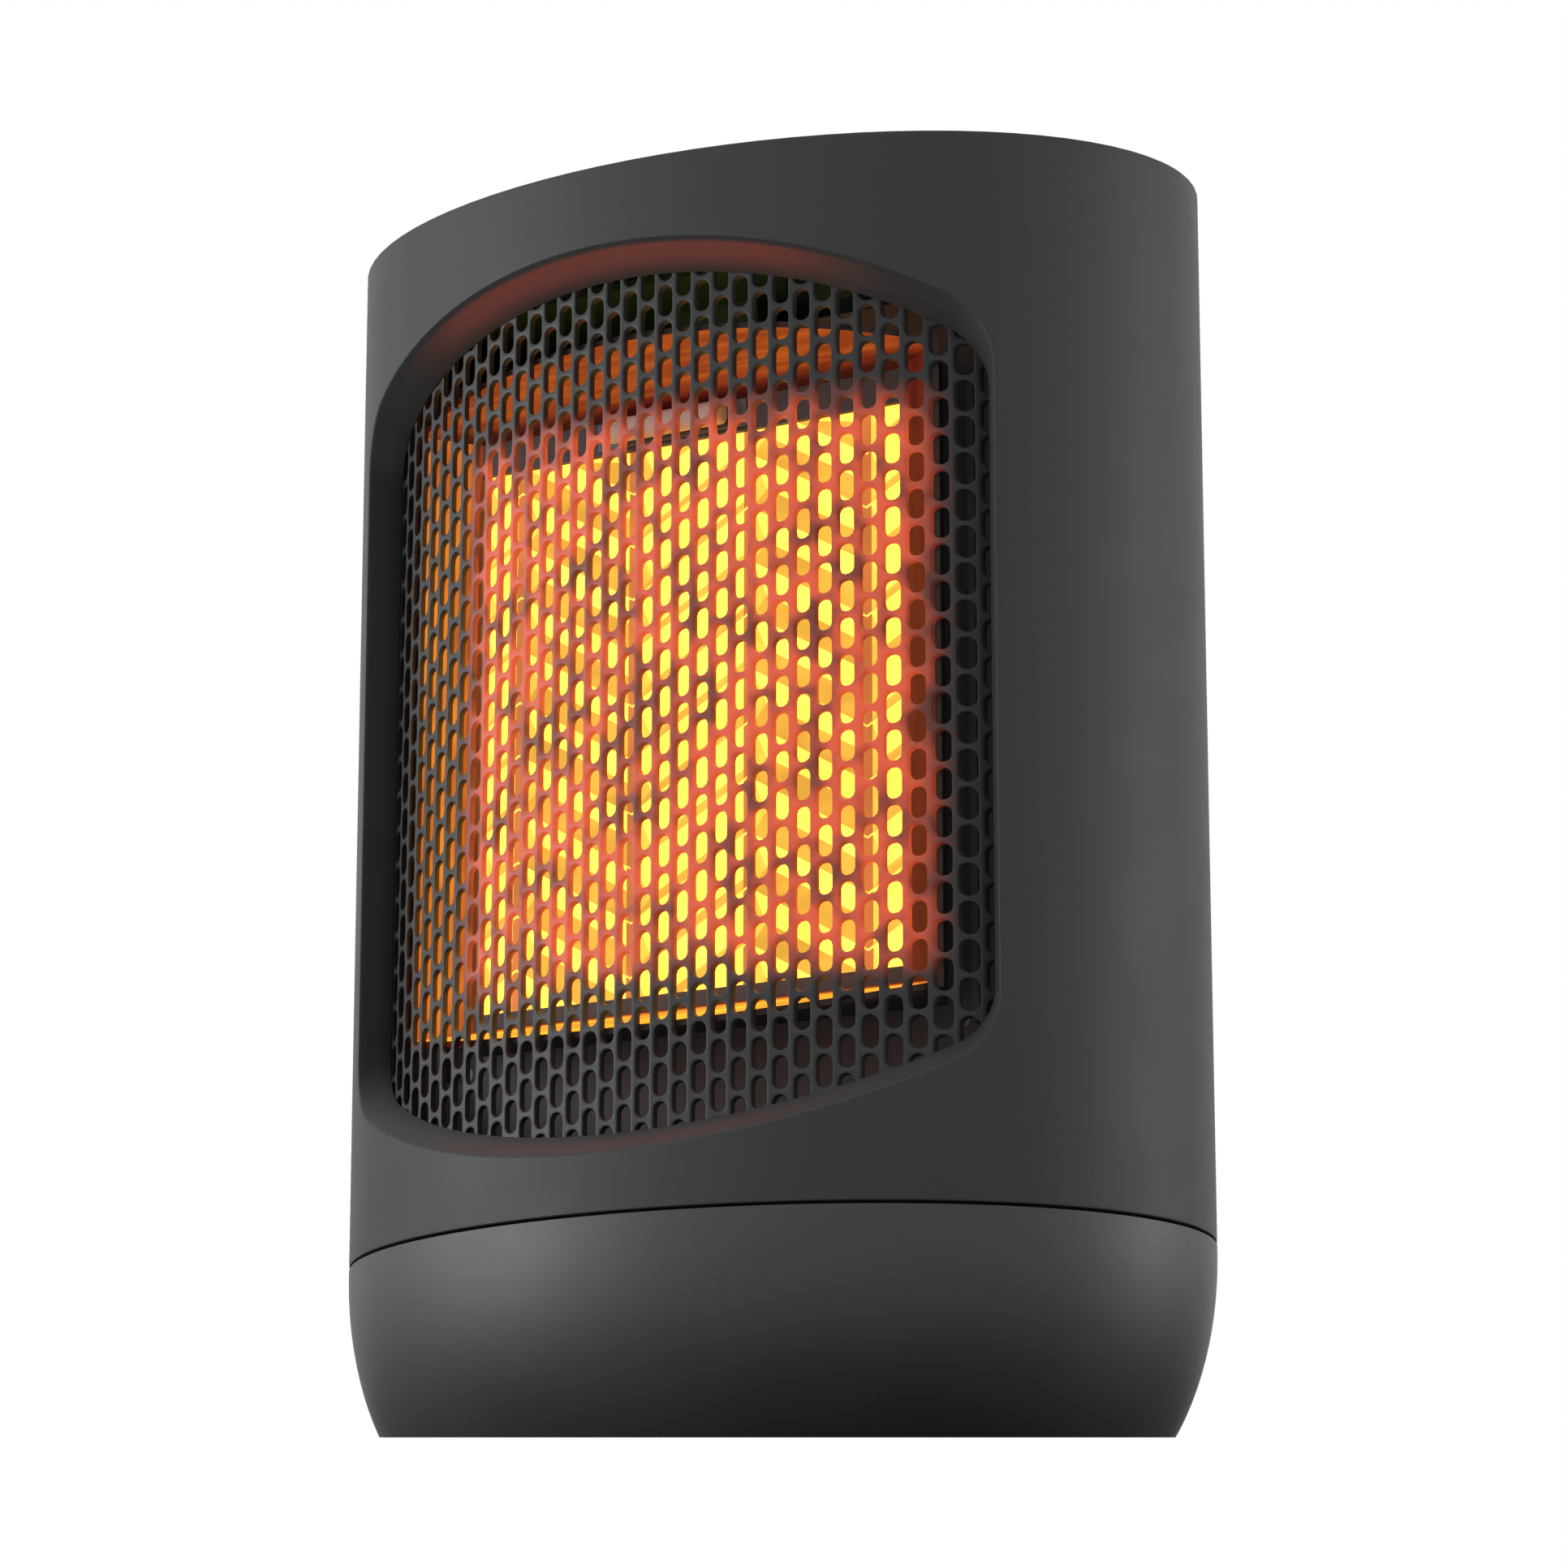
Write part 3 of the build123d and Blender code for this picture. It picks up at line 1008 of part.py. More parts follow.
with BuildPart() as inner_baffle:
    with BuildSketch(Plane.XZ.offset(-baffle_front)):
        with Locations((0, (baffle_low + baffle_high) / 2)):
            RectangleRounded(2 * baffle_side, baffle_high - baffle_low, BAFFLE_CORNER)
        with Locations((0, floor_top + foot_width / 2)):
            with GridLocations(BAFFLE_FOOT_SPACING, 1, 2, 1):
                Rectangle(foot_width, foot_width)
        with Locations((0, frame_middle)):
            Rectangle(2 * (frame_side + FIT), frame_height + 2 * FIT, mode=Mode.SUBTRACT)
    extrude(amount=-BAFFLE_THICKNESS)
    with BuildSketch(Plane.XZ.offset(-baffle_front)):
        with Locations((0, (opening_low + opening_high) / 2)):
            with GridLocations(2 * BAFFLE_RIB_PLACE, 1, 2, 1):
                with GridLocations(BAFFLE_RIB_PITCH, 1, 2, 1):
                    Rectangle(BAFFLE_RIB[0], BAFFLE_RIB[1])
    extrude(amount=BAFFLE_RIB[2])
    with Locations((0, BAFFLE_Y, floor_top)):
        with GridLocations(BAFFLE_FOOT_SPACING, 1, 2, 1):
            Box(foot_width, foot_depth, foot_thickness, align=(Align.CENTER, Align.MIN, Align.MIN))
    with Locations((0, chassis_screw_y, floor_top)):
        with GridLocations(BAFFLE_FOOT_SPACING, 1, 2, 1):
            Cylinder(SCREW_RADIUS, 4 * foot_thickness, mode=Mode.SUBTRACT)
    with Locations(*[along_y(x, BAFFLE_Y, z, 1) for x, z in flange_screw_spots + ear_spots]):
        Cylinder(SCREW_RADIUS, 4 * BAFFLE_THICKNESS, mode=Mode.SUBTRACT)

with BuildPart() as frame_screws:
    with Locations(*[along_y(x, flange_back, z, 1) for x, z in flange_screw_spots]):
        screw(FRAME_FLANGE_THICKNESS + BAFFLE_THICKNESS)

with BuildPart() as chassis_screws:
    with Locations((0, chassis_screw_y, floor_top + foot_thickness)):
        with GridLocations(BAFFLE_FOOT_SPACING, 1, 2, 1):
            screw(foot_thickness + HEAD_PLATE - SCREW_FLOOR - FIT)

# Fan: a shroud with a spider for the motor, the motor, and the impeller on its shaft.
ring_back = SPIDER_FRONT + SHROUD_PLATE
ring_inner = FAN_RADIUS + FAN_TIP_GAP
ring_outer = ring_inner + SHROUD_WALL
with BuildPart() as fan_shroud:
    with BuildSketch(Plane.XZ.offset(-BAFFLE_Y)):
        with Locations((0, frame_middle)):
            RectangleRounded(2 * (duct_side + SHROUD_WALL), duct_height + 2 * SHROUD_WALL, DUCT_CORNER)
    extrude(amount=BAFFLE_Y - SHROUD_FRONT - SHROUD_PLATE)
    with BuildSketch(Plane.XZ.offset(-BAFFLE_Y)):
        with Locations((0, frame_middle)):
            Rectangle(2 * duct_side, duct_height)
    extrude(amount=BAFFLE_Y - SHROUD_FRONT, mode=Mode.SUBTRACT)
    with BuildSketch(Plane.XZ.offset(-BAFFLE_Y)):
        with Locations(*ear_spots):
            Circle(SHROUD_EAR)
            Circle(SCREW_RADIUS, mode=Mode.SUBTRACT)
        with Locations((0, frame_middle)):
            Rectangle(2 * duct_side, duct_height, mode=Mode.SUBTRACT)
    extrude(amount=-SHROUD_PLATE)
    with BuildSketch(Plane.XZ.offset(-SHROUD_FRONT)):
        with Locations((0, GLOW_MIDDLE)):
            Circle(ring_outer)
    extrude(amount=SHROUD_FRONT - ring_back)
    with BuildSketch(Plane.XZ.offset(-SHROUD_FRONT)):
        with Locations((0, GLOW_MIDDLE)):
            Circle(ring_inner)
    extrude(amount=SHROUD_FRONT - ring_back, mode=Mode.SUBTRACT)
    with BuildSketch(Plane.XZ.offset(-SPIDER_FRONT)):
        with Locations((0, GLOW_MIDDLE)):
            Circle(FAN_MOTOR_RADIUS + SHROUD_WALL)
            with PolarLocations(0, SPIDER_ARMS, 45):
                Rectangle(ring_inner + SHROUD_WALL / 2, SPIDER_ARM_WIDTH, align=(Align.MIN, Align.CENTER))
            Circle(2 * FAN_SHAFT_RADIUS, mode=Mode.SUBTRACT)
            with PolarLocations(MOTOR_SCREW_CIRCLE, 2):
                Circle(SCREW_RADIUS, mode=Mode.SUBTRACT)
    extrude(amount=-SHROUD_PLATE)

with BuildPart() as shroud_screws:
    with Locations(*[along_y(x, BAFFLE_Y + SHROUD_PLATE, z, 1) for x, z in ear_spots]):
        screw(SHROUD_PLATE + BAFFLE_THICKNESS)

with BuildPart() as fan_motor:
    with BuildSketch(Plane.XZ.offset(-MOTOR_FRONT)):
        with Locations((0, GLOW_MIDDLE)):
            Circle(FAN_MOTOR_RADIUS)
    extrude(amount=-FAN_MOTOR_DEPTH)
    fillet(fan_motor.edges().sort_by(Axis.Y)[-1], MOTOR_ROUND)
    with Locations(along_y(0, MOTOR_FRONT, GLOW_MIDDLE, 1)):
        Cylinder(FAN_SHAFT_RADIUS + RUNNING_FIT, FAN_MOTOR_DEPTH, mode=Mode.SUBTRACT)
        with PolarLocations(MOTOR_SCREW_CIRCLE, 2):
            Cylinder(SCREW_RADIUS, 2 * MOTOR_SCREW_DEPTH, mode=Mode.SUBTRACT)

with BuildPart() as motor_screws:
    with Locations(along_y(0, SPIDER_FRONT, GLOW_MIDDLE, -1)):
        with PolarLocations(MOTOR_SCREW_CIRCLE, 2):
            screw(SHROUD_PLATE + MOTOR_SCREW_DEPTH - SCREW_TIP)

blade_root = FAN_HUB_RADIUS - FAN_HUB_WALL / 2
blade_tip = sqrt(FAN_RADIUS ** 2 - (FAN_BLADE_CHORD / 2) ** 2)
blade_sections = (
    (blade_root, FAN_ROOT_PITCH, FAN_ROOT_CHORD),
    (blade_tip, FAN_TIP_PITCH, FAN_BLADE_CHORD),
)
blade_middle = FAN_Y + FAN_DEPTH / 2
with BuildPart() as fan_impeller:
    with Locations(along_y(0, FAN_Y, GLOW_MIDDLE, 1)):
        Cylinder(FAN_HUB_RADIUS, FAN_DEPTH, align=(Align.CENTER, Align.CENTER, Align.MIN))
    fillet(fan_impeller.edges().sort_by(Axis.Y)[0], FAN_HUB_ROUND)
    for k in range(FAN_BLADES):
        turn = 2 * pi * k / FAN_BLADES
        out = Vector(cos(turn), 0, sin(turn))
        tangent = Vector(-sin(turn), 0, cos(turn))
        for radius, pitch, chord in blade_sections:
            chord_dir = tangent * cos(radians(pitch)) + Vector(0, 1, 0) * sin(radians(pitch))
            place = Vector(0, blade_middle, GLOW_MIDDLE) + out * radius
            with BuildSketch(Plane(origin=place, x_dir=chord_dir, z_dir=out)):
                Rectangle(chord, FAN_BLADE_THICKNESS)
        loft(ruled=True)
    with Locations(along_y(0, FAN_Y + FAN_HUB_WALL, GLOW_MIDDLE, 1)):
        Cylinder(
            FAN_HUB_RADIUS - FAN_HUB_WALL,
            FAN_DEPTH,
            align=(Align.CENTER, Align.CENTER, Align.MIN),
            mode=Mode.SUBTRACT,
        )
        Cylinder(
            3 * FAN_SHAFT_RADIUS,
            FAN_DEPTH - FAN_HUB_WALL,
            align=(Align.CENTER, Align.CENTER, Align.MIN),
        )
        Cylinder(FAN_SHAFT_RADIUS + FIT / 4, 4 * FAN_DEPTH, mode=Mode.SUBTRACT)

with BuildPart() as fan_shaft:
    with Locations(along_y(0, FAN_Y - FAN_SHAFT_END, GLOW_MIDDLE, 1)):
        Cylinder(
            FAN_SHAFT_RADIUS,
            MOTOR_FRONT + FAN_MOTOR_DEPTH / 2 - FAN_Y + FAN_SHAFT_END - CLEARANCE,
            align=(Align.CENTER, Align.CENTER, Align.MIN),
        )

with BuildPart() as fan_nut:
    with BuildSketch(Plane.XZ.offset(-FAN_Y)):
        with Locations((0, GLOW_MIDDLE)):
            RegularPolygon(FAN_NUT[0], 6)
            Circle(FAN_SHAFT_RADIUS + FIT / 4, mode=Mode.SUBTRACT)
    extrude(amount=FAN_NUT[1])

# Rear intake grille and the dust filter inside it.
intake_slots = {
    "width": INTAKE_SLOT[0],
    "length": INTAKE_SLOT[1],
    "pitch": INTAKE_ROW_PITCH,
    "rows": INTAKE_ROWS,
    "middle": intake_middle,
    "shift": 0.0,
    "margin": INTAKE_LAP / 2,
    "tab": 0.0,
    "tab_columns": 0,
}
with BuildPart() as rear_grille:
    add(
        slotted_skin(
            1,
            SHELL_WALL,
            INTAKE_THICKNESS,
            (-INTAKE_COLUMNS, INTAKE_COLUMNS, 0.0),
            INTAKE_PITCH,
            intake_middle - intake_height / 2 - INTAKE_LAP,
            intake_middle + intake_height / 2 + INTAKE_LAP,
            intake_slots,
        )
    )

filter_radii = (BODY_WIDTH / 2 - SHELL_WALL, BODY_DEPTH / 2 - SHELL_WALL)
filter_drop = INTAKE_THICKNESS + FIT
filter_cell = (INTAKE_WIDTH / FILTER_CELLS[0], intake_height / FILTER_CELLS[1])
with BuildPart() as dust_filter:
    with BuildSketch(Plane.XY.offset(SEAM_HEIGHT + INTAKE_LOW)):
        with Locations((0, -filter_drop)):
            Ellipse(*filter_radii)
        with Locations((0, -filter_drop - FILTER_THICKNESS)):
            Ellipse(*filter_radii, mode=Mode.SUBTRACT)
        with Locations((0, BODY_DEPTH / 2)):
            Rectangle(INTAKE_WIDTH, BODY_DEPTH, mode=Mode.INTERSECT)
    extrude(amount=intake_height)
    with BuildSketch(Plane.XZ):
        with Locations((0, intake_middle)):
            with GridLocations(*filter_cell, *FILTER_CELLS):
                RectangleRounded(filter_cell[0] - FILTER_RIB, filter_cell[1] - FILTER_RIB, FILTER_CORNER)
    extrude(amount=-BODY_DEPTH, mode=Mode.SUBTRACT)

# Control panel in the slanted top, with its board, display and five push buttons.
button_middle = (len(BUTTON_NAMES) - 1) / 2
button_spots = [((k - button_middle) * BUTTON_PITCH, BUTTON_ROW) for k in range(len(BUTTON_NAMES))]
board_spots = []
for side_x in (-1, 1):
    for side_y in (-1, 1):
        spot_x = side_x * (BOARD_SIZE[0] / 2 - BOARD_POST_INSET)
        board_spots.append((spot_x, BOARD_PLACE + side_y * (BOARD_SIZE[1] / 2 - BOARD_POST_INSET)))
panel_seat = PANEL_PLANE.offset(-SCREW_RECESS)

with BuildPart() as control_panel:
    add(head_column(SEAM_HEIGHT, TOP_STOCK, SHELL_WALL + FIT))
    with BuildSketch(PANEL_PLANE):
        Rectangle(2 * BODY_WIDTH, 2 * BODY_WIDTH)
    extrude(amount=-PANEL_THICKNESS, mode=Mode.INTERSECT)
    with BuildSketch(PANEL_BOTTOM):
        with Locations(*board_spots):
            Circle(POST_RADIUS)
            Circle(SCREW_RADIUS, mode=Mode.SUBTRACT)
    extrude(amount=-BOARD_DROP)
    with BuildSketch(PANEL_PLANE):
        with Locations(*button_spots):
            Circle(BUTTON_RADIUS)
        with Locations((0, DISPLAY_PLACE)):
            RectangleRounded(
                DISPLAY_SIZE[0] - 2 * DISPLAY_SEAT,
                DISPLAY_SIZE[1] - 2 * DISPLAY_SEAT,
                DISPLAY_SEAT_CORNER,
            )
        with Locations(*panel_screw_spots):
            Circle(SCREW_RADIUS)
    extrude(amount=-2 * PANEL_THICKNESS, mode=Mode.SUBTRACT)
    with BuildSketch(PANEL_PLANE):
        with Locations((0, DISPLAY_PLACE)):
            RectangleRounded(*DISPLAY_SIZE, DISPLAY_CORNER)
    extrude(amount=-DISPLAY_THICKNESS, mode=Mode.SUBTRACT)
    with BuildSketch(PANEL_PLANE):
        with Locations(*panel_screw_spots):
            Circle(SCREW_HEAD + FIT)
    extrude(amount=-SCREW_RECESS, mode=Mode.SUBTRACT)

with BuildPart() as display_lens:
    with BuildSketch(PANEL_PLANE):
        with Locations((0, DISPLAY_PLACE)):
            RectangleRounded(DISPLAY_SIZE[0] - FIT, DISPLAY_SIZE[1] - FIT, DISPLAY_CORNER)
    extrude(amount=-DISPLAY_THICKNESS)

with BuildPart() as panel_screws:
    with Locations(panel_seat.location):
        with Locations(*panel_screw_spots):
            screw(POST_LENGTH)

with BuildPart() as control_board:
    with BuildSketch(BOARD_PLANE):
        with Locations((0, BOARD_PLACE)):
            RectangleRounded(*BOARD_SIZE, BOARD_CORNER)
        with Locations(*board_spots):
            Circle(SCREW_RADIUS, mode=Mode.SUBTRACT)
    extrude(amount=-BOARD_THICKNESS)
    with BuildSketch(BOARD_PLANE.offset(-BOARD_THICKNESS)):
        for chip_x, chip_width, chip_length in BOARD_CHIPS:
            with Locations((chip_x, BOARD_PLACE)):
                Rectangle(chip_width, chip_length)
    extrude(amount=-BOARD_CHIP_HEIGHT)

board_bottom = BOARD_PLANE.offset(-BOARD_THICKNESS)
with BuildPart() as board_screws:
    with Locations(board_bottom.location):
        with Locations(*[Location((x, y, 0), (180, 0, 0)) for x, y in board_spots]):
            screw(BOARD_THICKNESS + POST_FLOOR_LENGTH)

with BuildPart() as key_switches:
    with BuildSketch(BOARD_PLANE):
        with Locations(*button_spots):
            Rectangle(KEY_SIZE, KEY_SIZE)
    extrude(amount=KEY_HEIGHT)
    with BuildSketch(BOARD_PLANE.offset(KEY_HEIGHT)):
        with Locations(*button_spots):
            Circle(KEY_PIN)
    extrude(amount=KEY_PIN)

stem_end = BOARD_DROP - KEY_HEIGHT - KEY_PIN - BUTTON_TRAVEL - CLEARANCE
buttons = {}
for name, spot in zip(BUTTON_NAMES, button_spots):
    with BuildPart() as button:
        with BuildSketch(PANEL_PLANE.offset(BUTTON_HEIGHT)):
            with Locations(spot):
                Circle(BUTTON_RADIUS - CLEARANCE)
        extrude(amount=-(BUTTON_HEIGHT + PANEL_THICKNESS + CLEARANCE))
        fillet(button.edges().group_by(Axis.Z)[-1], BUTTON_ROUND)
        with BuildSketch(PANEL_BOTTOM.offset(-CLEARANCE)):
            with Locations(spot):
                Circle(BUTTON_RADIUS + BUTTON_FLANGE)
        extrude(amount=-BUTTON_FLANGE)
        with BuildSketch(PANEL_BOTTOM.offset(-CLEARANCE)):
            with Locations(spot):
                Circle(BUTTON_STEM)
        extrude(amount=CLEARANCE - stem_end)
    buttons["button_" + name] = button

pieces = {
    "base_shell": base_shell,
    "rubber_feet": rubber_feet,
    "hatch": hatch,
    "hatch_screws": hatch_screws,
    "tilt_switch": tilt_switch,
    "tilt_switch_screws": tilt_switch_screws,
    "tilt_plunger": tilt_plunger,
    "base_deck": base_deck,
    "deck_screws": deck_screws,
    "spindle_bush": spindle_bush,
    "glide_ring": glide_ring,
    "swing_motor": swing_motor,
    "swing_motor_screws": swing_motor_screws,
    "swing_motor_shaft": swing_motor_shaft,
    "swing_pinion": swing_pinion,
    "terminal_block": terminal_block,
    "cable_gland": cable_gland,
    "gland_nut": gland_nut,
    "head_shell": head_shell,
    "head_floor": head_floor,
    "floor_screws": floor_screws,
    "swing_spindle": swing_spindle,
    "spindle_screws": spindle_screws,
    "swing_gear": swing_gear,
    "spindle_clip": spindle_clip,
    "front_grille": front_grille,
    "grille_screws": grille_screws,
    "reflector": reflector,
    "element_frame": element_frame,
    "heater_fins": heater_fins,
    "ptc_bars": ptc_bars,
    "terminal_tabs": terminal_tabs,
    "fuse_bracket": fuse_bracket,
    "thermal_fuse": thermal_fuse,
    "inner_baffle": inner_baffle,
    "frame_screws": frame_screws,
    "chassis_screws": chassis_screws,
    "fan_shroud": fan_shroud,
    "shroud_screws": shroud_screws,
    "fan_motor": fan_motor,
    "motor_screws": motor_screws,
    "fan_impeller": fan_impeller,
    "fan_shaft": fan_shaft,
    "fan_nut": fan_nut,
    "rear_grille": rear_grille,
    "dust_filter": dust_filter,
    "control_panel": control_panel,
    "display_lens": display_lens,
    "panel_screws": panel_screws,
    "control_board": control_board,
    "board_screws": board_screws,
    "key_switches": key_switches,
    **buttons,
}
os.makedirs("parts", exist_ok=True)
for name, piece in pieces.items():
    piece.part.label = name
    export_step(piece.part, f"parts/{name}.step")
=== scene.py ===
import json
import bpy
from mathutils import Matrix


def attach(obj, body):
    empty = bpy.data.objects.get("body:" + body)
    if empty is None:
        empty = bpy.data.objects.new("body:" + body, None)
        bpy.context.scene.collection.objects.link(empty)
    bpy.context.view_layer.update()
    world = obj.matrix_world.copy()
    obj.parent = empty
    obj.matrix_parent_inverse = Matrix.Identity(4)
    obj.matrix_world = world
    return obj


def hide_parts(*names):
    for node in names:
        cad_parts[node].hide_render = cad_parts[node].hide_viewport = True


bl_info = {
    "name": "Fan heater",
    "version": (1, 0, 0),
    "blender": (4, 5, 0),
    "location": "3D View > Sidebar > Heater",
    "description": "Visible pieces of an oval desktop fan heater, built round its packed frame",
    "category": "Object",
}

from math import asin, atan2, cos, pi, radians, sin, sqrt, tan

import bmesh
import bpy
from bpy.props import FloatProperty, FloatVectorProperty, IntProperty
from mathutils import Matrix, Vector

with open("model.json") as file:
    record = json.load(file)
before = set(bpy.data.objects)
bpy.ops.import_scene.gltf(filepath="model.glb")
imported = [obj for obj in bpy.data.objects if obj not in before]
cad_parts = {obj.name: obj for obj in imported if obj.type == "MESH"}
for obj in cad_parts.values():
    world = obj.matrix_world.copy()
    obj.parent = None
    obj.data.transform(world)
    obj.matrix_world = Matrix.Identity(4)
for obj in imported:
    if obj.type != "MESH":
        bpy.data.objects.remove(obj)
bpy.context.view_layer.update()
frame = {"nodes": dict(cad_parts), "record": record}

# Lengths below which two places are one, a cut passes through a vertex, and two faces are level
TINY = 1e-6
CUT_REACH = 1e-7
LEVEL = 1e-5

# Steps of the skin's mesh: round a corner, across and up an opening, and from it to its border
CORNER_STEPS = 8
WIDE_STEPS = 40
TALL_STEPS = 44
SKIN_STEPS = 24

# Sharp corner of a half's border, least rounded corner of the window, and its last section's share
BORDER_CORNER = 0.06
LEAST_CORNER = 0.001
EDGE_SHARE = 0.02

# Search for the window's edge on the oval: the back plane, the first guess and the steps
BACK_SHARE = 0.3
FIRST_SHARE = 0.2
SLIDE_STEPS = 30

# Shares of the sections inside the wall, from the window's collar and from the intake
FRONT_WALL_SHARES = (0.1, 0.3, 0.6, 1.0)
REAR_WALL_SHARES = (0.0, 0.15, 0.5, 1.0)

# Insets of the reveal's sections, and the gap to the grille behind its lip
REVEAL_START = 0.0008
REVEAL_SHARE = 0.6
GRILLE_PLAY = 0.00005

# Depth and growth of a slot's rounded front edge, in shares of its rounding, and the plate's bare margin
SLOT_ROUNDING = ((0.0, 1.0), (0.35, 0.3), (1.1, 0.0))
SLOT_MARGIN = 0.001

# Heating block: spines, the sheet's reach in spine pitches, the frame, and how far they lie behind it
SPINES = 4
SHEET_SPANS = 3
FRAME_BAR = 0.001
SHEET_SETBACK = 0.0006
SPINE_SETBACK = 0.0004

# Angles past which an edge is rounded, and past which shading breaks
SHARP_ANGLE = radians(35)
SMOOTH_ANGLE = radians(38)

# Details: a mark's sunk share, the steps of its arc, and the directions round a screw
MARK_SUNK = 0.2
ARC_STEPS = 14
SCREW_STATIONS = 48
SCREW_TURNS = [2 * pi * k / SCREW_STATIONS for k in range(SCREW_STATIONS)]
SPOKES = [(cos(turn), sin(turn)) for turn in SCREW_TURNS]

# Finishes: scale of slow patches, spread of roughness, height of the grain and pitch of the gauze
PATCH_SCALE = 60.0
ROUGH_SPREAD = 0.015
GRAIN_HEIGHT = 0.00006
WEAVE_PITCH = 0.0009
BLACK = (0.0, 0.0, 0.0)
FINISHES = {}
SOCKETS = {"specular": "Specular IOR Level", "metallic": "Metallic", "roughness": "Roughness"}

# The grille's red light: its limits across and up, their fade, and its strength on the reveal
LIT_ACROSS = (-0.0365, 0.0575)
LIT_UP = (0.0965, 0.2045)
LIT_FADE = 0.005
REVEAL_GLOW = 0.14

# Stage
PLINTH_HALF_WIDTH = 2.5
PLINTH_BACK = 3.5
PLINTH_HEIGHT = 0.9
LAMP_AIM = (0.0, 0.0, 0.14)


class ShellSizes(bpy.types.PropertyGroup):
    half_width: FloatProperty(
        name="Half width", description="Half axis of the body's oval across, at the seam",
        default=0.089, unit="LENGTH")
    half_depth: FloatProperty(
        name="Half depth", description="Half axis of the body's oval front to back, at the seam",
        default=0.068, unit="LENGTH")
    flare: FloatProperty(
        name="Flare", description="How far the rim stands out past the seam", default=0.0007, unit="LENGTH")
    seam_height: FloatProperty(
        name="Seam height", description="Height of the seam between base and head",
        default=0.05, unit="LENGTH")
    seam_gap: FloatProperty(
        name="Seam gap", description="Gap between base and head", default=0.0006, unit="LENGTH")
    rim_height: FloatProperty(
        name="Rim height", description="Height of the slanted rim on the axis", default=0.26, unit="LENGTH")
    rim_slope: FloatProperty(
        name="Rim slope", description="Slope of the rim, down towards the front",
        default=radians(4.8), subtype="ANGLE")
    wall: FloatProperty(
        name="Wall", description="Thickness of the head's wall", default=0.0026, unit="LENGTH")
    edge_round: FloatProperty(
        name="Edge rounding", description="Rounding of the head's edges", default=0.00045, unit="LENGTH")


class WindowSizes(bpy.types.PropertyGroup):
    half_width: FloatProperty(
        name="Half width", description="Half width where the window's sides meet the skin",
        default=0.0709, unit="LENGTH")
    top: FloatProperty(
        name="Top", description="Height of the window's top edge at the middle",
        default=0.2378, unit="LENGTH")
    bottom: FloatProperty(
        name="Bottom", description="Height of the window's bottom edge at the middle",
        default=0.0616, unit="LENGTH")
    draft: FloatProperty(
        name="Draft", description="Angle of the reveal to the front-to-back direction",
        default=radians(35), subtype="ANGLE")
    corner: FloatProperty(
        name="Corner", description="Corner radius where the window's corner meets the skin",
        default=0.009, unit="LENGTH")
    corner_ease: FloatProperty(
        name="Corner ease", description="How fast the corner radius grows towards the front", default=0.3)
    setback: FloatProperty(
        name="Setback", description="Distance from the skin to the grille", default=0.0068, unit="LENGTH")
    lip: FloatProperty(
        name="Lip", description="Thickness of the reveal's wall", default=0.0018, unit="LENGTH")
    intake_half_width: FloatProperty(
        name="Intake half width", description="Half width of the rear intake's opening",
        default=0.052, unit="LENGTH")
    intake_low: FloatProperty(
        name="Intake low", description="Lower edge of the rear intake", default=0.076, unit="LENGTH")
    intake_high: FloatProperty(
        name="Intake high", description="Upper edge of the rear intake", default=0.226, unit="LENGTH")
    intake_corner: FloatProperty(
        name="Intake corner", description="Corner radius of the rear intake", default=0.01, unit="LENGTH")


class GrilleSizes(bpy.types.PropertyGroup):
    column_pitch: FloatProperty(
        name="Column pitch", description="Distance between two columns of slots",
        default=0.00379, unit="LENGTH")
    column_phase: FloatProperty(
        name="Column phase", description="Place of the middle column across the heater",
        default=-0.00095, unit="LENGTH")
    row_pitch: FloatProperty(
        name="Row pitch", description="Distance between two slots of a column",
        default=0.00723, unit="LENGTH")
    row_phase: FloatProperty(
        name="Row phase", description="Height of one slot of the middle column",
        default=0.07915, unit="LENGTH")
    slot_width: FloatProperty(
        name="Slot width", description="Width of a slot", default=0.0029, unit="LENGTH")
    slot_length: FloatProperty(
        name="Slot length", description="Length of a slot, round ends included",
        default=0.0063, unit="LENGTH")
    thickness: FloatProperty(
        name="Thickness", description="Thickness of the grille", default=0.0016, unit="LENGTH")
    edge_round: FloatProperty(
        name="Edge rounding", description="Rounding of each slot's front edge",
        default=0.00022, unit="LENGTH")
    columns: IntProperty(
        name="Columns", description="Columns of slots on each side of the middle one", default=18)
    low: FloatProperty(
        name="Low edge", description="Lower edge of the grille plate", default=0.0634, unit="LENGTH")
    high: FloatProperty(
        name="High edge", description="Upper edge of the grille plate", default=0.236, unit="LENGTH")
    tab: FloatProperty(
        name="Fixing tab", description="Reach of the fixing tabs above and below",
        default=0.008, unit="LENGTH")


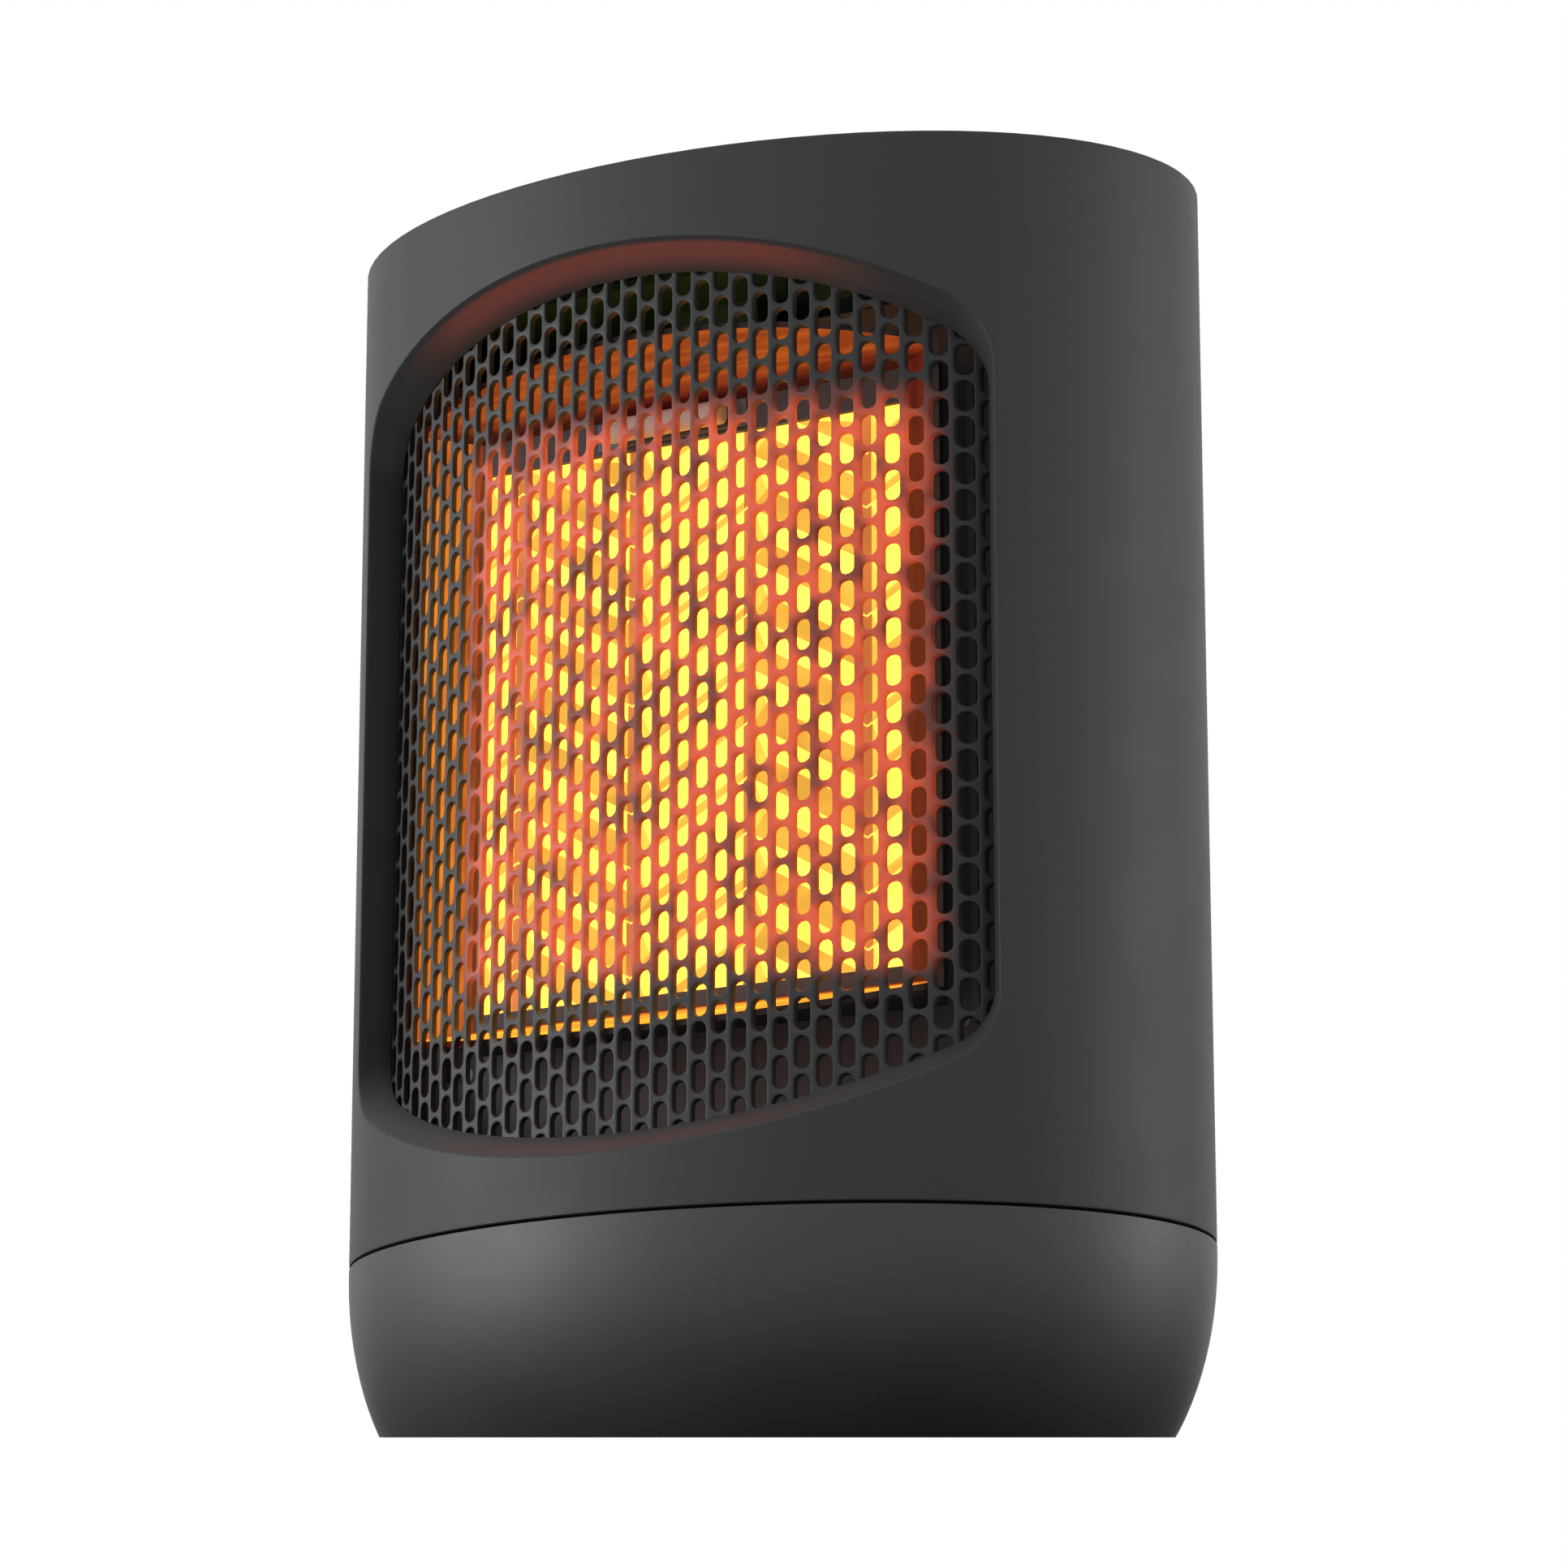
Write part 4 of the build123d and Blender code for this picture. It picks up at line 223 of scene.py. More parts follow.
class ElementSizes(bpy.types.PropertyGroup):
    middle: FloatProperty(
        name="Middle", description="Height of the heating block's centre", default=0.15295, unit="LENGTH")
    width: FloatProperty(
        name="Width", description="Width of the heating block", default=0.0986, unit="LENGTH")
    height: FloatProperty(
        name="Height", description="Height of the heating block", default=0.1135, unit="LENGTH")
    front: FloatProperty(
        name="Front", description="Place of the block's front, front to back",
        default=-0.0337, unit="LENGTH")
    depth: FloatProperty(
        name="Depth", description="Depth of the block", default=0.011, unit="LENGTH")
    pleat_depth: FloatProperty(
        name="Pleat depth", description="Depth of the pleated fins", default=0.0055, unit="LENGTH")
    pitch: FloatProperty(
        name="Pleat pitch", description="Distance between two pleats", default=0.01085, unit="LENGTH")
    spine_pitch: FloatProperty(
        name="Spine pitch", description="Distance between two upright spines",
        default=0.0262, unit="LENGTH")
    spine_width: FloatProperty(
        name="Spine width", description="Width of an upright spine", default=0.0021, unit="LENGTH")
    slope: FloatProperty(
        name="Slope", description="Slope of the pleats between two spines",
        default=radians(30), subtype="ANGLE")
    sheet: FloatProperty(
        name="Sheet", description="Thickness of the fin sheet", default=0.0003, unit="LENGTH")


class DetailSizes(bpy.types.PropertyGroup):
    mark_reach: FloatProperty(
        name="Mark reach", description="Half size of the mark on a button", default=0.0027, unit="LENGTH")
    mark_stroke: FloatProperty(
        name="Mark stroke", description="Width of a mark's lines", default=0.0005, unit="LENGTH")
    mark_height: FloatProperty(
        name="Mark height", description="How far a mark stands out of its button",
        default=0.00012, unit="LENGTH")
    cross_reach: FloatProperty(
        name="Cross reach", description="Size of a screw's cross recess, as a share of its head",
        default=0.58)
    cross_depth: FloatProperty(
        name="Cross depth", description="Depth of a screw's cross recess", default=0.0007, unit="LENGTH")


class Finishes(bpy.types.PropertyGroup):
    body: FloatVectorProperty(
        name="Body", description="Colour of the head's matt plastic",
        default=(0.0285, 0.0285, 0.029), size=3, subtype="COLOR")
    base: FloatVectorProperty(
        name="Base", description="Colour of the base's matt plastic",
        default=(0.032, 0.032, 0.0325), size=3, subtype="COLOR")
    grille: FloatVectorProperty(
        name="Grille", description="Colour of the grille",
        default=(0.034, 0.034, 0.0345), size=3, subtype="COLOR")
    # Fins' glow on pleats that face down and up: the split between the two is painted light and painted
    # shade
    lit_facet_glow: FloatVectorProperty(
        name="Hot side", description="Glow of the fins' bright side",
        default=(1.0, 0.42, 0.05), size=3, subtype="COLOR")
    shaded_facet_glow: FloatVectorProperty(
        name="Warm side", description="Glow of the fins' dull side",
        default=(0.30, 0.155, 0.017), size=3, subtype="COLOR")
    spine: FloatVectorProperty(
        name="Spines", description="Glow of the heating block's spines and frame",
        default=(0.23, 0.062, 0.010), size=3, subtype="COLOR")
    cast: FloatVectorProperty(
        name="Cast light", description="Glow that the heating block throws on what is round it",
        default=(0.70, 0.085, 0.025), size=3, subtype="COLOR")
    glow_strength: FloatProperty(
        name="Glow", description="Strength of the fins' glow", default=3.0)


class StudioSettings(bpy.types.PropertyGroup):
    camera_place: FloatVectorProperty(
        name="Camera", description="Place of the camera",
        default=(0.46096, -0.80009, -0.08624), size=3, subtype="TRANSLATION")
    camera_pitch: FloatProperty(
        name="Pitch", description="How far the camera looks up", default=radians(14.13), subtype="ANGLE")
    camera_turn: FloatProperty(
        name="Turn", description="Turn of the camera about the vertical", default=0.5209, subtype="ANGLE")
    lens: FloatProperty(
        name="Lens", description="Focal length on a 36 mm sensor", default=109.54)
    plinth_reach: FloatProperty(
        name="Plinth reach", description="How far the plinth runs in front of the axis",
        default=0.146, unit="LENGTH")
    room_light: FloatProperty(
        name="Room light", description="Strength of the room's even light", default=0.43)
    left_power: FloatProperty(
        name="Left lamp", description="Power of the softbox on the left", default=15.5)
    right_power: FloatProperty(
        name="Right lamp", description="Power of the softbox on the right", default=8.0)
    top_power: FloatProperty(
        name="Top lamp", description="Power of the softbox above", default=4.0)


def shell():
    """Sizes of the body."""
    return bpy.context.scene.heater_shell


def window():
    """Sizes of the window and the intake."""
    return bpy.context.scene.heater_window


# Shapes of the oval body

def between(start, end, share):
    """Point at a share of the way from one point to another."""
    return tuple(a + share * (b - a) for a, b in zip(start, end))


def radii(height, inset=0.0, flared=True):
    """Half axes of the head's oval at a height."""
    s = shell()
    out = -inset
    if flared:
        out += s.flare * (height - s.seam_height) / (s.rim_height - s.seam_height)
    return s.half_width + out, s.half_depth + out


def rim_level(angle, side, inset):
    """Height of the slanted rim over a place on the oval, which settles in three rounds."""
    s = shell()
    level = s.rim_height
    for _ in range(3):
        level = s.rim_height + tan(s.rim_slope) * side * radii(level, inset)[1] * cos(angle)
    return level


def on_skin(angle, share, side, inset):
    """Point of the skin at an angle from the middle and a share of the height up to the rim."""
    s = shell()
    low = s.seam_height + s.seam_gap
    height = low + share * (rim_level(angle, side, inset) - low)
    across, deep = radii(height, inset)
    return Vector((across * sin(angle), side * deep * cos(angle), height))


def to_skin(x, z, side, inset):
    """Angle and share of the height of a skin point seen from the front at x, z."""
    s = shell()
    low = s.seam_height + s.seam_gap
    angle = asin(max(-1.0, min(1.0, x / radii(z, inset)[0])))
    return angle, (z - low) / (rim_level(angle, side, inset) - low)


def outline(half, low, high, radius, sharp=False):
    """Stations round an upright rectangle, anticlockwise, with rounded or sharp corners."""
    corners = (
        (half - radius, low + radius, -90.0, TALL_STEPS),
        (half - radius, high - radius, 0.0, WIDE_STEPS),
        (radius - half, high - radius, 90.0, TALL_STEPS),
        (radius - half, low + radius, 180.0, WIDE_STEPS),
    )
    stations = []
    for k, (x, z, start, steps) in enumerate(corners):
        for step in range(CORNER_STEPS + 1):
            turn = radians(start + 90.0 * step / CORNER_STEPS)
            ahead, up = cos(turn), sin(turn)
            if sharp:
                longest = max(abs(ahead), abs(up))
                ahead, up = ahead / longest, up / longest
            stations.append((x + radius * ahead, z + radius * up))
        next_x, next_z, next_start, _ = corners[(k + 1) % 4]
        turn = radians(next_start)
        end = stations[-1]
        goal = (next_x + radius * cos(turn), next_z + radius * sin(turn))
        for step in range(1, steps):
            stations.append(between(end, goal, step / steps))
    return stations


def window_outline(y, grow):
    """Outline of the drafted window at a depth."""
    s, w = shell(), window()
    slope = tan(w.draft)
    side_y = -s.half_depth * sqrt(1 - (w.half_width / s.half_width) ** 2)
    rise = slope * (-s.half_depth - y)
    return outline(
        w.half_width + slope * (side_y - y) + grow,
        w.bottom - rise - grow,
        w.top + rise + grow,
        max(LEAST_CORNER, w.corner + w.corner_ease * (side_y - y) + grow),
    )


def window_section(inset, grow, flared=True):
    """The window's edge on the oval that runs inside the skin by inset.

    Each point slides on its line from front to back until it lies on the oval.
    """
    s = shell()
    near, far = -s.half_depth, -BACK_SHARE * s.half_depth
    section = []
    for front, back in zip(window_outline(near, grow), window_outline(far, grow)):
        share = FIRST_SHARE
        for _ in range(SLIDE_STEPS):
            x, z = between(front, back, share)
            across, deep = radii(z, inset, flared)
            depth = -deep * sqrt(max(0.0, 1 - (x / across) ** 2))
            share = (share + 2 * (depth - near) / (far - near)) / 3
        section.append(Vector((x, depth, z)))
    return section


def skin_sections(opening, shares, side, inset):
    """Sections of the front or rear half, from an opening, share 0, to the half's border, share 1."""
    border = outline(pi / 2, 0.0, 1.0, BORDER_CORNER, sharp=True)
    edge = [to_skin(x, z, side, inset) for x, z in opening]
    return [
        [on_skin(*between(place, goal, share), side, inset) for place, goal in zip(edge, border)]
        for share in shares]


# Mesh helpers

def next_ring(bm, ring):
    """Extrudes a closed ring of vertices and returns the new one in the same order."""
    edges = [bm.edges.get((ring[k - 1], ring[k])) for k in range(len(ring))]
    made = bmesh.ops.extrude_edge_only(bm, edges=edges)
    fresh = {item for item in made["geom"] if isinstance(item, bmesh.types.BMVert)}
    follow = []
    for vert in ring:
        for edge in vert.link_edges:
            if edge.other_vert(vert) in fresh:
                follow.append(edge.other_vert(vert))
                break
    return follow


def loft(bm, sections):
    """Extrudes a ring through the sections, in order, and returns the first and last ring."""
    first = ring = bmesh.ops.create_circle(bm, segments=len(sections[0]), radius=1.0)["verts"]
    for number, section in enumerate(sections):
        if number:
            ring = next_ring(bm, ring)
        for vert, place in zip(ring, section):
            vert.co = place
    return first, ring


def merge(bm):
    """Joins the vertices that share a place."""
    bmesh.ops.remove_doubles(bm, verts=bm.verts, dist=TINY)


def soften(bm, width):
    """Rounds every sharp edge."""
    sharp = [
        edge for edge in bm.edges
        if len(edge.link_faces) == 2 and edge.calc_face_angle() > SHARP_ANGLE]
    bmesh.ops.bevel(
        bm, geom=sharp, offset=width, offset_type="OFFSET", affect="EDGES", segments=3,
        profile=0.5, material=-1, clamp_overlap=True)


def block(bm, low, high):
    """Box between two corners."""
    low, high = Vector(low), Vector(high)
    made = bmesh.ops.create_cube(bm, size=1.0)["verts"]
    bmesh.ops.scale(bm, vec=high - low, verts=made)
    bmesh.ops.translate(bm, vec=(low + high) / 2, verts=made)
    return made


def as_mesh(bm, name):
    """Turns a bmesh into a mesh and frees it."""
    mesh = bpy.data.meshes.new(name)
    bm.to_mesh(mesh)
    bm.free()
    return mesh


def show(name, data):
    """Object of a mesh, a lamp or a camera in the scene."""
    made = bpy.data.objects.new(name, data)
    bpy.context.scene.collection.objects.link(made)
    return made


def add_piece(name, bm, body, slot, replaced=(), smooth=True, recalc=True):
    """Turns a bmesh into a finished piece that rides on a body."""
    merge(bm)
    if recalc:
        bmesh.ops.recalc_face_normals(bm, faces=bm.faces)
    mesh = as_mesh(bm, name)
    mesh.materials.append(finish(slot))
    if smooth:
        mesh.shade_smooth()
        mesh.set_sharp_from_angle(angle=SMOOTH_ANGLE)
    else:
        mesh.shade_flat()
    piece = show(name, mesh)
    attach(piece, body)
    if replaced:
        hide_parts(*replaced)


# Pieces

def build_head_sleeve():
    """Oval sleeve with the drafted window in front and the intake opening behind."""
    s, w = shell(), window()
    bm = bmesh.new()
    edge = window_section(0.0, 0.0)
    lip_depth = w.setback - GRILLE_PLAY
    shares = [1 - k / SKIN_STEPS for k in range(SKIN_STEPS)] + [EDGE_SHARE]
    outer = skin_sections([(p.x, p.z) for p in edge], shares, -1, 0.0)
    reveal = [
        edge,
        window_section(REVEAL_START, 0.0),
        window_section(lip_depth * REVEAL_SHARE, 0.0),
        window_section(lip_depth, 0.0, flared=False),
    ]
    lip = window_section(lip_depth, w.lip, flared=False)
    collar = window_section(s.wall, w.lip)
    inner = skin_sections([(p.x, p.z) for p in collar], FRONT_WALL_SHARES, -1, s.wall)
    loft(bm, outer + reveal + [lip, collar] + inner)
    intake = outline(w.intake_half_width, w.intake_low, w.intake_high, w.intake_corner)
    outer = skin_sections(intake, shares + [0.0], 1, 0.0)
    inner = skin_sections(intake, REAR_WALL_SHARES, 1, s.wall)
    loft(bm, outer + inner)
    merge(bm)
    middle = (s.seam_height + s.rim_height) / 2
    for above in (True, False):
        bmesh.ops.bridge_loops(bm, edges=[
            edge for edge in bm.edges
            if edge.is_boundary and (edge.verts[0].co.z > middle) == above])
    bmesh.ops.recalc_face_normals(bm, faces=bm.faces)
    soften(bm, s.edge_round)
    add_piece("head_sleeve", bm, "head", "body_charcoal", ("head_shell",))


def slot_cell(g):
    """One slot of the grille in its own cell of the plate, flat and centred."""
    radius = g.slot_width / 2
    straight = g.slot_length / 2 - radius
    half, tall = g.column_pitch / 2, g.row_pitch / 2
    turns = [radians(30 * k) for k in range(4)]
    hole = [(radius * cos(turn), straight + radius * sin(turn)) for turn in turns]
    border = [(half, tall / 2), (half, tall), (half / 2, tall), (0.0, tall)]
    for points, side in ((hole, radius), (border, half)):
        points += [(-x, z) for x, z in reversed(points[:3])] + [(-side, 0.0)]
        points += [(x, -z) for x, z in reversed(points[:7])] + [(side, 0.0)]

    def placed(points, y, grow=0.0):
        wide, long = 1 + grow / radius, 1 + grow / (straight + radius)
        return [Vector((x * wide, y, z * long)) for x, z in points]

    bm = bmesh.new()
    rounding = [
        placed(hole, g.edge_round * depth, g.edge_round * grow) for depth, grow in SLOT_ROUNDING]
    loft(bm, [
        placed(border, 0.0), *rounding, placed(hole, g.thickness), placed(border, g.thickness)])
    return as_mesh(bm, "slot_cell")


def put(bm, mesh, shift):
    """Adds a copy of a mesh, moved, and returns its vertices in order."""
    first = len(bm.verts)
    bm.from_mesh(mesh)
    bm.verts.ensure_lookup_table()
    made = bm.verts[first:]
    bmesh.ops.translate(bm, vec=shift, verts=made)
    return made


def slot_column(g, cell, shift):
    """One column of slots, cut off at the plate's edges."""
    bm = bmesh.new()
    ring = len(cell.vertices) // (len(SLOT_ROUNDING) + 3)
    row = g.row_phase + shift
    while row + g.slot_length / 2 > g.low + 2 * SLOT_MARGIN:
        row -= g.row_pitch
    row += g.row_pitch
    while row - g.slot_length / 2 < g.high - 2 * SLOT_MARGIN:
        for number, vert in enumerate(put(bm, cell, (0.0, 0.0, row))):
            on_hole = ring <= number < len(cell.vertices) - ring
            margin = SLOT_MARGIN if on_hole else 0.0
            vert.co.z = max(g.low + margin, min(g.high - margin, vert.co.z))
        row += g.row_pitch
    return as_mesh(bm, "slot_column")


def build_front_grille():
    """Curved plate with staggered upright slots, and three fixing tabs above and below."""
    g, s, w = bpy.context.scene.heater_grille, shell(), window()
    across, deep = s.half_width - w.setback, s.half_depth - w.setback
    cell = slot_cell(g)
    columns = (slot_column(g, cell, 0.0), slot_column(g, cell, g.row_pitch / 2))
    bm = bmesh.new()
    for k in range(-g.columns, g.columns + 1):
        put(bm, columns[k % 2], (g.column_phase + k * g.column_pitch, 0.0, 0.0))
    merge(bm)
    bmesh.ops.bridge_loops(bm, edges=[edge for edge in bm.edges if edge.is_boundary])
    half = g.column_pitch / 2
    for k in (-1, 0, 1):
        x = g.column_phase + k * g.column_pitch
        for low, high in ((g.low - g.tab, g.low + SLOT_MARGIN), (g.high - SLOT_MARGIN, g.high + g.tab)):
            block(bm, (x - half, 0.0, low), (x + half, g.thickness, high))
    for vert in bm.verts:
        vert.co.y -= deep * sqrt(max(0.0, 1 - (vert.co.x / across) ** 2))
    for spare in (cell, *columns):
        bpy.data.meshes.remove(spare)
    add_piece("grille_face", bm, "head", "grille_charcoal", ("front_grille",))


def chevron(x, e):
    """Rise of the pleats at a place across the heating block."""
    share = (x / e.spine_pitch + 0.5) % 2
    return e.spine_pitch * tan(e.slope) / 2 * (1 - 2 * abs(share - 1))


def build_heater_fins():
    """Herringbone pleated sheet in a thin frame, with four upright spines."""
    e = bpy.context.scene.heater_element
    half_width, half_height = e.width / 2, e.height / 2
    low, high = e.middle - half_height, e.middle + half_height
    back = e.front + e.depth
    bm = bmesh.new()
    rows = 2 * int((half_height + e.spine_pitch) / e.pitch) + 2
    made = bmesh.ops.create_grid(bm, x_segments=4 * SHEET_SPANS, y_segments=2 * rows, size=1.0)["verts"]
    for vert in made:
        x = vert.co.x * e.spine_pitch * SHEET_SPANS
        row = round(vert.co.y * rows)
        y = e.front + SHEET_SETBACK + (e.pleat_depth if row % 2 else 0.0)
        vert.co = Vector((x, y, e.middle + row * e.pitch / 2 + chevron(x, e)))
    for place, normal in (
        ((half_width - FRAME_BAR, 0, 0), (1, 0, 0)),
        ((FRAME_BAR - half_width, 0, 0), (-1, 0, 0)),
        ((0, 0, high - FRAME_BAR), (0, 0, 1)),
        ((0, 0, low + FRAME_BAR), (0, 0, -1)),
    ):
        bmesh.ops.bisect_plane(
            bm, geom=bm.verts[:] + bm.edges[:] + bm.faces[:], dist=CUT_REACH, plane_co=place,
            plane_no=normal, clear_outer=True)
    bmesh.ops.recalc_face_normals(bm, faces=bm.faces)
    bmesh.ops.solidify(bm, geom=bm.faces[:], thickness=e.sheet)
    half = e.spine_width / 2
    for k in range(SPINES):
        x = (k - (SPINES - 1) / 2) * e.spine_pitch
        block(bm, (x - half, e.front + SPINE_SETBACK, low + FRAME_BAR), (x + half, back, high - FRAME_BAR))
    for x_low, x_high, z_low, z_high in (
        (-half_width, half_width, low, low + FRAME_BAR),
        (-half_width, half_width, high - FRAME_BAR, high),
        (-half_width, FRAME_BAR - half_width, low + FRAME_BAR, high - FRAME_BAR),
        (half_width - FRAME_BAR, half_width, low + FRAME_BAR, high - FRAME_BAR),
    ):
        block(bm, (x_low, e.front, z_low), (x_high, back, z_high))
    add_piece(
        "pleated_fins", bm, "head", "fin_aluminium", ("heater_fins",), smooth=False, recalc=False)


def panel_normal():
    """Direction square to the slanted control panel, away from it."""
    slope = shell().rim_slope
    return Vector((0.0, -sin(slope), cos(slope)))


def loose_parts(node):
    """Vertex places of each separate solid in a CAD node."""
    bm = bmesh.new()
    bm.from_mesh(node.data)
    merge(bm)
    left = set(bm.verts)
    parts = []
    while left:
        reached = [left.pop()]
        for vert in reached:
            for edge in vert.link_edges:
                other = edge.other_vert(vert)
                if other in left:
                    left.remove(other)
                    reached.append(other)
        parts.append([node.matrix_world @ vert.co for vert in reached])
    bm.free()
    return parts


def top_centre(places, axis):
    """Middle of a solid's end face along an axis."""
    end = max(place.dot(axis) for place in places)
    face = [place for place in places if end - place.dot(axis) < LEVEL]
    low = Vector([min(place[k] for place in face) for k in range(3)])
    high = Vector([max(place[k] for place in face) for k in range(3)])
    return (low + high) / 2


def stroke(bm, points, width, height):
    """Raised line along points on a flat face."""
    for start, end in zip(points, points[1:]):
        run = Vector(end) - Vector(start)
        turn = Matrix.Rotation(atan2(run.y, run.x), 3, "Z")
        made = block(bm, (-width / 2, -width / 2, 0.0), (run.length + width / 2, width / 2, height))
        bmesh.ops.rotate(bm, verts=made, cent=(0, 0, 0), matrix=turn)
        bmesh.ops.translate(bm, verts=made, vec=(start[0], start[1], 0.0))


def arc(radius, start, end):
    """Points on an arc between two angles in degrees."""
    turns = [radians(start + (end - start) * k / ARC_STEPS) for k in range(ARC_STEPS + 1)]
    return [(radius * cos(turn), radius * sin(turn)) for turn in turns]


def mark_lines(button):
    """Lines of the plain mark on a button, in shares of its half size."""
    arrow = ((0.55, 0.35), (1.0, 0.0), (0.55, -0.35))
    bar = ((-0.8, 0.0), (0.8, 0.0))
    return {
        "button_power": (arc(0.85, 125, 415), ((0.0, 0.25), (0.0, 1.0))),
        "button_mode": tuple(
            tuple((0.55 * k + 0.16 * sin(3.2 * step), 0.28 * step - 0.84) for step in range(7))
            for k in (-1, 0, 1)),
        "button_swing": (((-1.0, 0.0), (1.0, 0.0)), arrow, tuple((-x, y) for x, y in arrow)),
        "button_warmer": (bar, tuple((y, x) for x, y in bar)),
        "button_cooler": (bar,),
    }[button]


def build_button_mark(button):
    """Raised mark that rides on one button."""
    d = bpy.context.scene.heater_details
    up = panel_normal()
    bm = bmesh.new()
    for line in mark_lines(button):
        stroke(bm, [(d.mark_reach * x, d.mark_reach * y) for x, y in line], d.mark_stroke, d.mark_height)
    place = top_centre(loose_parts(frame["nodes"][button])[0], up)
    tilt = Matrix.Rotation(shell().rim_slope, 3, "X")
    bmesh.ops.rotate(bm, verts=bm.verts, cent=(0, 0, 0), matrix=tilt)
    bmesh.ops.translate(bm, verts=bm.verts, vec=place - up * d.mark_height * MARK_SUNK)
    add_piece(button + "_mark", bm, button, "gear_white", smooth=False)


def screw_sections(places, centre, axis):
    """Radii and height of each ring of a screw, from the tip to the floor of its cross recess."""
    d = bpy.context.scene.heater_details
    heights = [(place - centre).dot(axis) for place in places]
    spans = [(place - centre - axis * height).length for place, height in zip(places, heights)]
    head, tip = max(spans), min(heights)
    shaft = max(span for span, height in zip(spans, heights) if height < tip + LEVEL)
    widest = 0.95 * head
    under = min(height for span, height in zip(spans, heights) if span > widest)
    point, chamfer, bevel = 0.7 * shaft, 0.3 * shaft, 0.12 * head
    profile = (
        (point, tip),
        (shaft, tip + chamfer),
        (shaft, under),
        (head, under),
        (head, -bevel),
        (head - bevel, 0.0),
    )
    sections = [([radius] * SCREW_STATIONS, height) for radius, height in profile]
    arm, half = d.cross_reach * head, 0.17 * head
    cross = []
    for x, y in SPOKES:
        long, short = max(abs(x), abs(y)), max(TINY, min(abs(x), abs(y)))
        cross.append(min(arm / long, half / short))
    cross_floor = [0.7 * reach for reach in cross]
    return sections + [(cross, 0.0), (cross_floor, -d.cross_depth)]


def build_screws(node, name, axis, body):
    """Screws with a cross recess, each over its plain solid."""
    bm = bmesh.new()
    turn = axis.to_track_quat("Z", "Y").to_matrix()
    for places in loose_parts(frame["nodes"][node]):
        centre = top_centre(places, axis)
        rings = []
        for reaches, height in screw_sections(places, centre, axis):
            spots = [Vector((reach * x, reach * y, height)) for reach, (x, y) in zip(reaches, SPOKES)]
            rings.append([centre + turn @ spot for spot in spots])
        for ring in loft(bm, rings):
            bmesh.ops.contextual_create(bm, geom=list(ring))
    add_piece(name, bm, body, "steel", (node,))


# Finishes

def add_node(tree, kind, settings=None, inputs=None):
    """Adds a node, sets its properties and its sockets, and links what is a socket."""
    node = tree.nodes.new(kind)
    for key, value in (settings or {}).items():
        setattr(node, key, value)
    for key, value in (inputs or {}).items():
        if isinstance(value, bpy.types.NodeSocket):
            tree.links.new(value, node.inputs[key])
        else:
            node.inputs[key].default_value = value
    return node


def math(tree, operation, *values):
    """Output of a math node on numbers or sockets."""
    return add_node(tree, "ShaderNodeMath", {"operation": operation}, dict(enumerate(values))).outputs[0]


def product(tree, first, *others):
    """Values multiplied, in order."""
    for value in others:
        first = math(tree, "MULTIPLY", first, value)
    return first


def ramp(tree, value, low, high, to_low=0.0, to_high=1.0):
    """Smooth step of a value between two limits."""
    return add_node(
        tree, "ShaderNodeMapRange", {"interpolation_type": "SMOOTHSTEP"},
        {0: value, 1: low, 2: high, 3: to_low, 4: to_high}).outputs[0]


def band(tree, value, low, high, fade):
    """1 between two limits and 0 outside them, with soft ends."""
    rise = ramp(tree, value, low - fade, low + fade)
    return product(tree, rise, ramp(tree, value, high - fade, high + fade, 1.0, 0.0))


def split(tree, vector):
    """The three parts of a vector."""
    return add_node(tree, "ShaderNodeSeparateXYZ", None, {0: vector}).outputs[:]


def noise(tree, vector, scale, detail, roughness=0.5):
    """Noise on a vector."""
    inputs = {"Vector": vector, "Scale": scale, "Detail": detail, "Roughness": roughness}
    return add_node(tree, "ShaderNodeTexNoise", None, inputs).outputs["Fac"]


def blend(tree, factor, first, second, mode="MIX"):
    """Mix of two colours, each of them a colour or a socket."""
    inputs = {"Factor": factor}
    for number, value in ((6, first), (7, second)):
        inputs[number] = value if isinstance(value, bpy.types.NodeSocket) else (*value, 1.0)
    return add_node(tree, "ShaderNodeMix", {"data_type": "RGBA", "blend_type": mode}, inputs).outputs[2]


def grain_group():
    """Fine texture of moulded plastic: a height for bump and a slow change of tone."""
    group = bpy.data.node_groups.get("moulded_grain")
    if group:
        return group
    group = bpy.data.node_groups.new("moulded_grain", "ShaderNodeTree")
    for name, way, kind in (
        ("Vector", "INPUT", "NodeSocketVector"),
        ("Grain", "INPUT", "NodeSocketFloat"),
        ("Height", "OUTPUT", "NodeSocketFloat"),
        ("Tone", "OUTPUT", "NodeSocketFloat"),
    ):
        group.interface.new_socket(name=name, in_out=way, socket_type=kind)
    vector, grain = group.nodes.new("NodeGroupInput").outputs[:2]
    cells = add_node(group, "ShaderNodeTexVoronoi", {"feature": "SMOOTH_F1"},
                     {"Vector": vector, "Scale": grain, "Smoothness": 0.6}).outputs["Distance"]
    fine = noise(group, vector, grain, 3.0, 0.65)
    slow = noise(group, vector, PATCH_SCALE, 4.0, 0.6)
    end = group.nodes.new("NodeGroupOutput")
    group.links.new(math(group, "ADD", fine, product(group, cells, 0.6)), end.inputs["Height"])
    group.links.new(ramp(group, slow, 0.3, 0.7), end.inputs["Tone"])
    return group


def start_material(name, **settings):
    """Starts a finish: its node tree, its Principled shader and its texture coordinates."""
    material = FINISHES[name] = bpy.data.materials.new(name)
    material.use_nodes = True
    tree = material.node_tree
    shader = tree.nodes["Principled BSDF"]
    for key, value in settings.items():
        shader.inputs[SOCKETS[key]].default_value = value
    return tree, shader, tree.nodes.new("ShaderNodeTexCoord").outputs


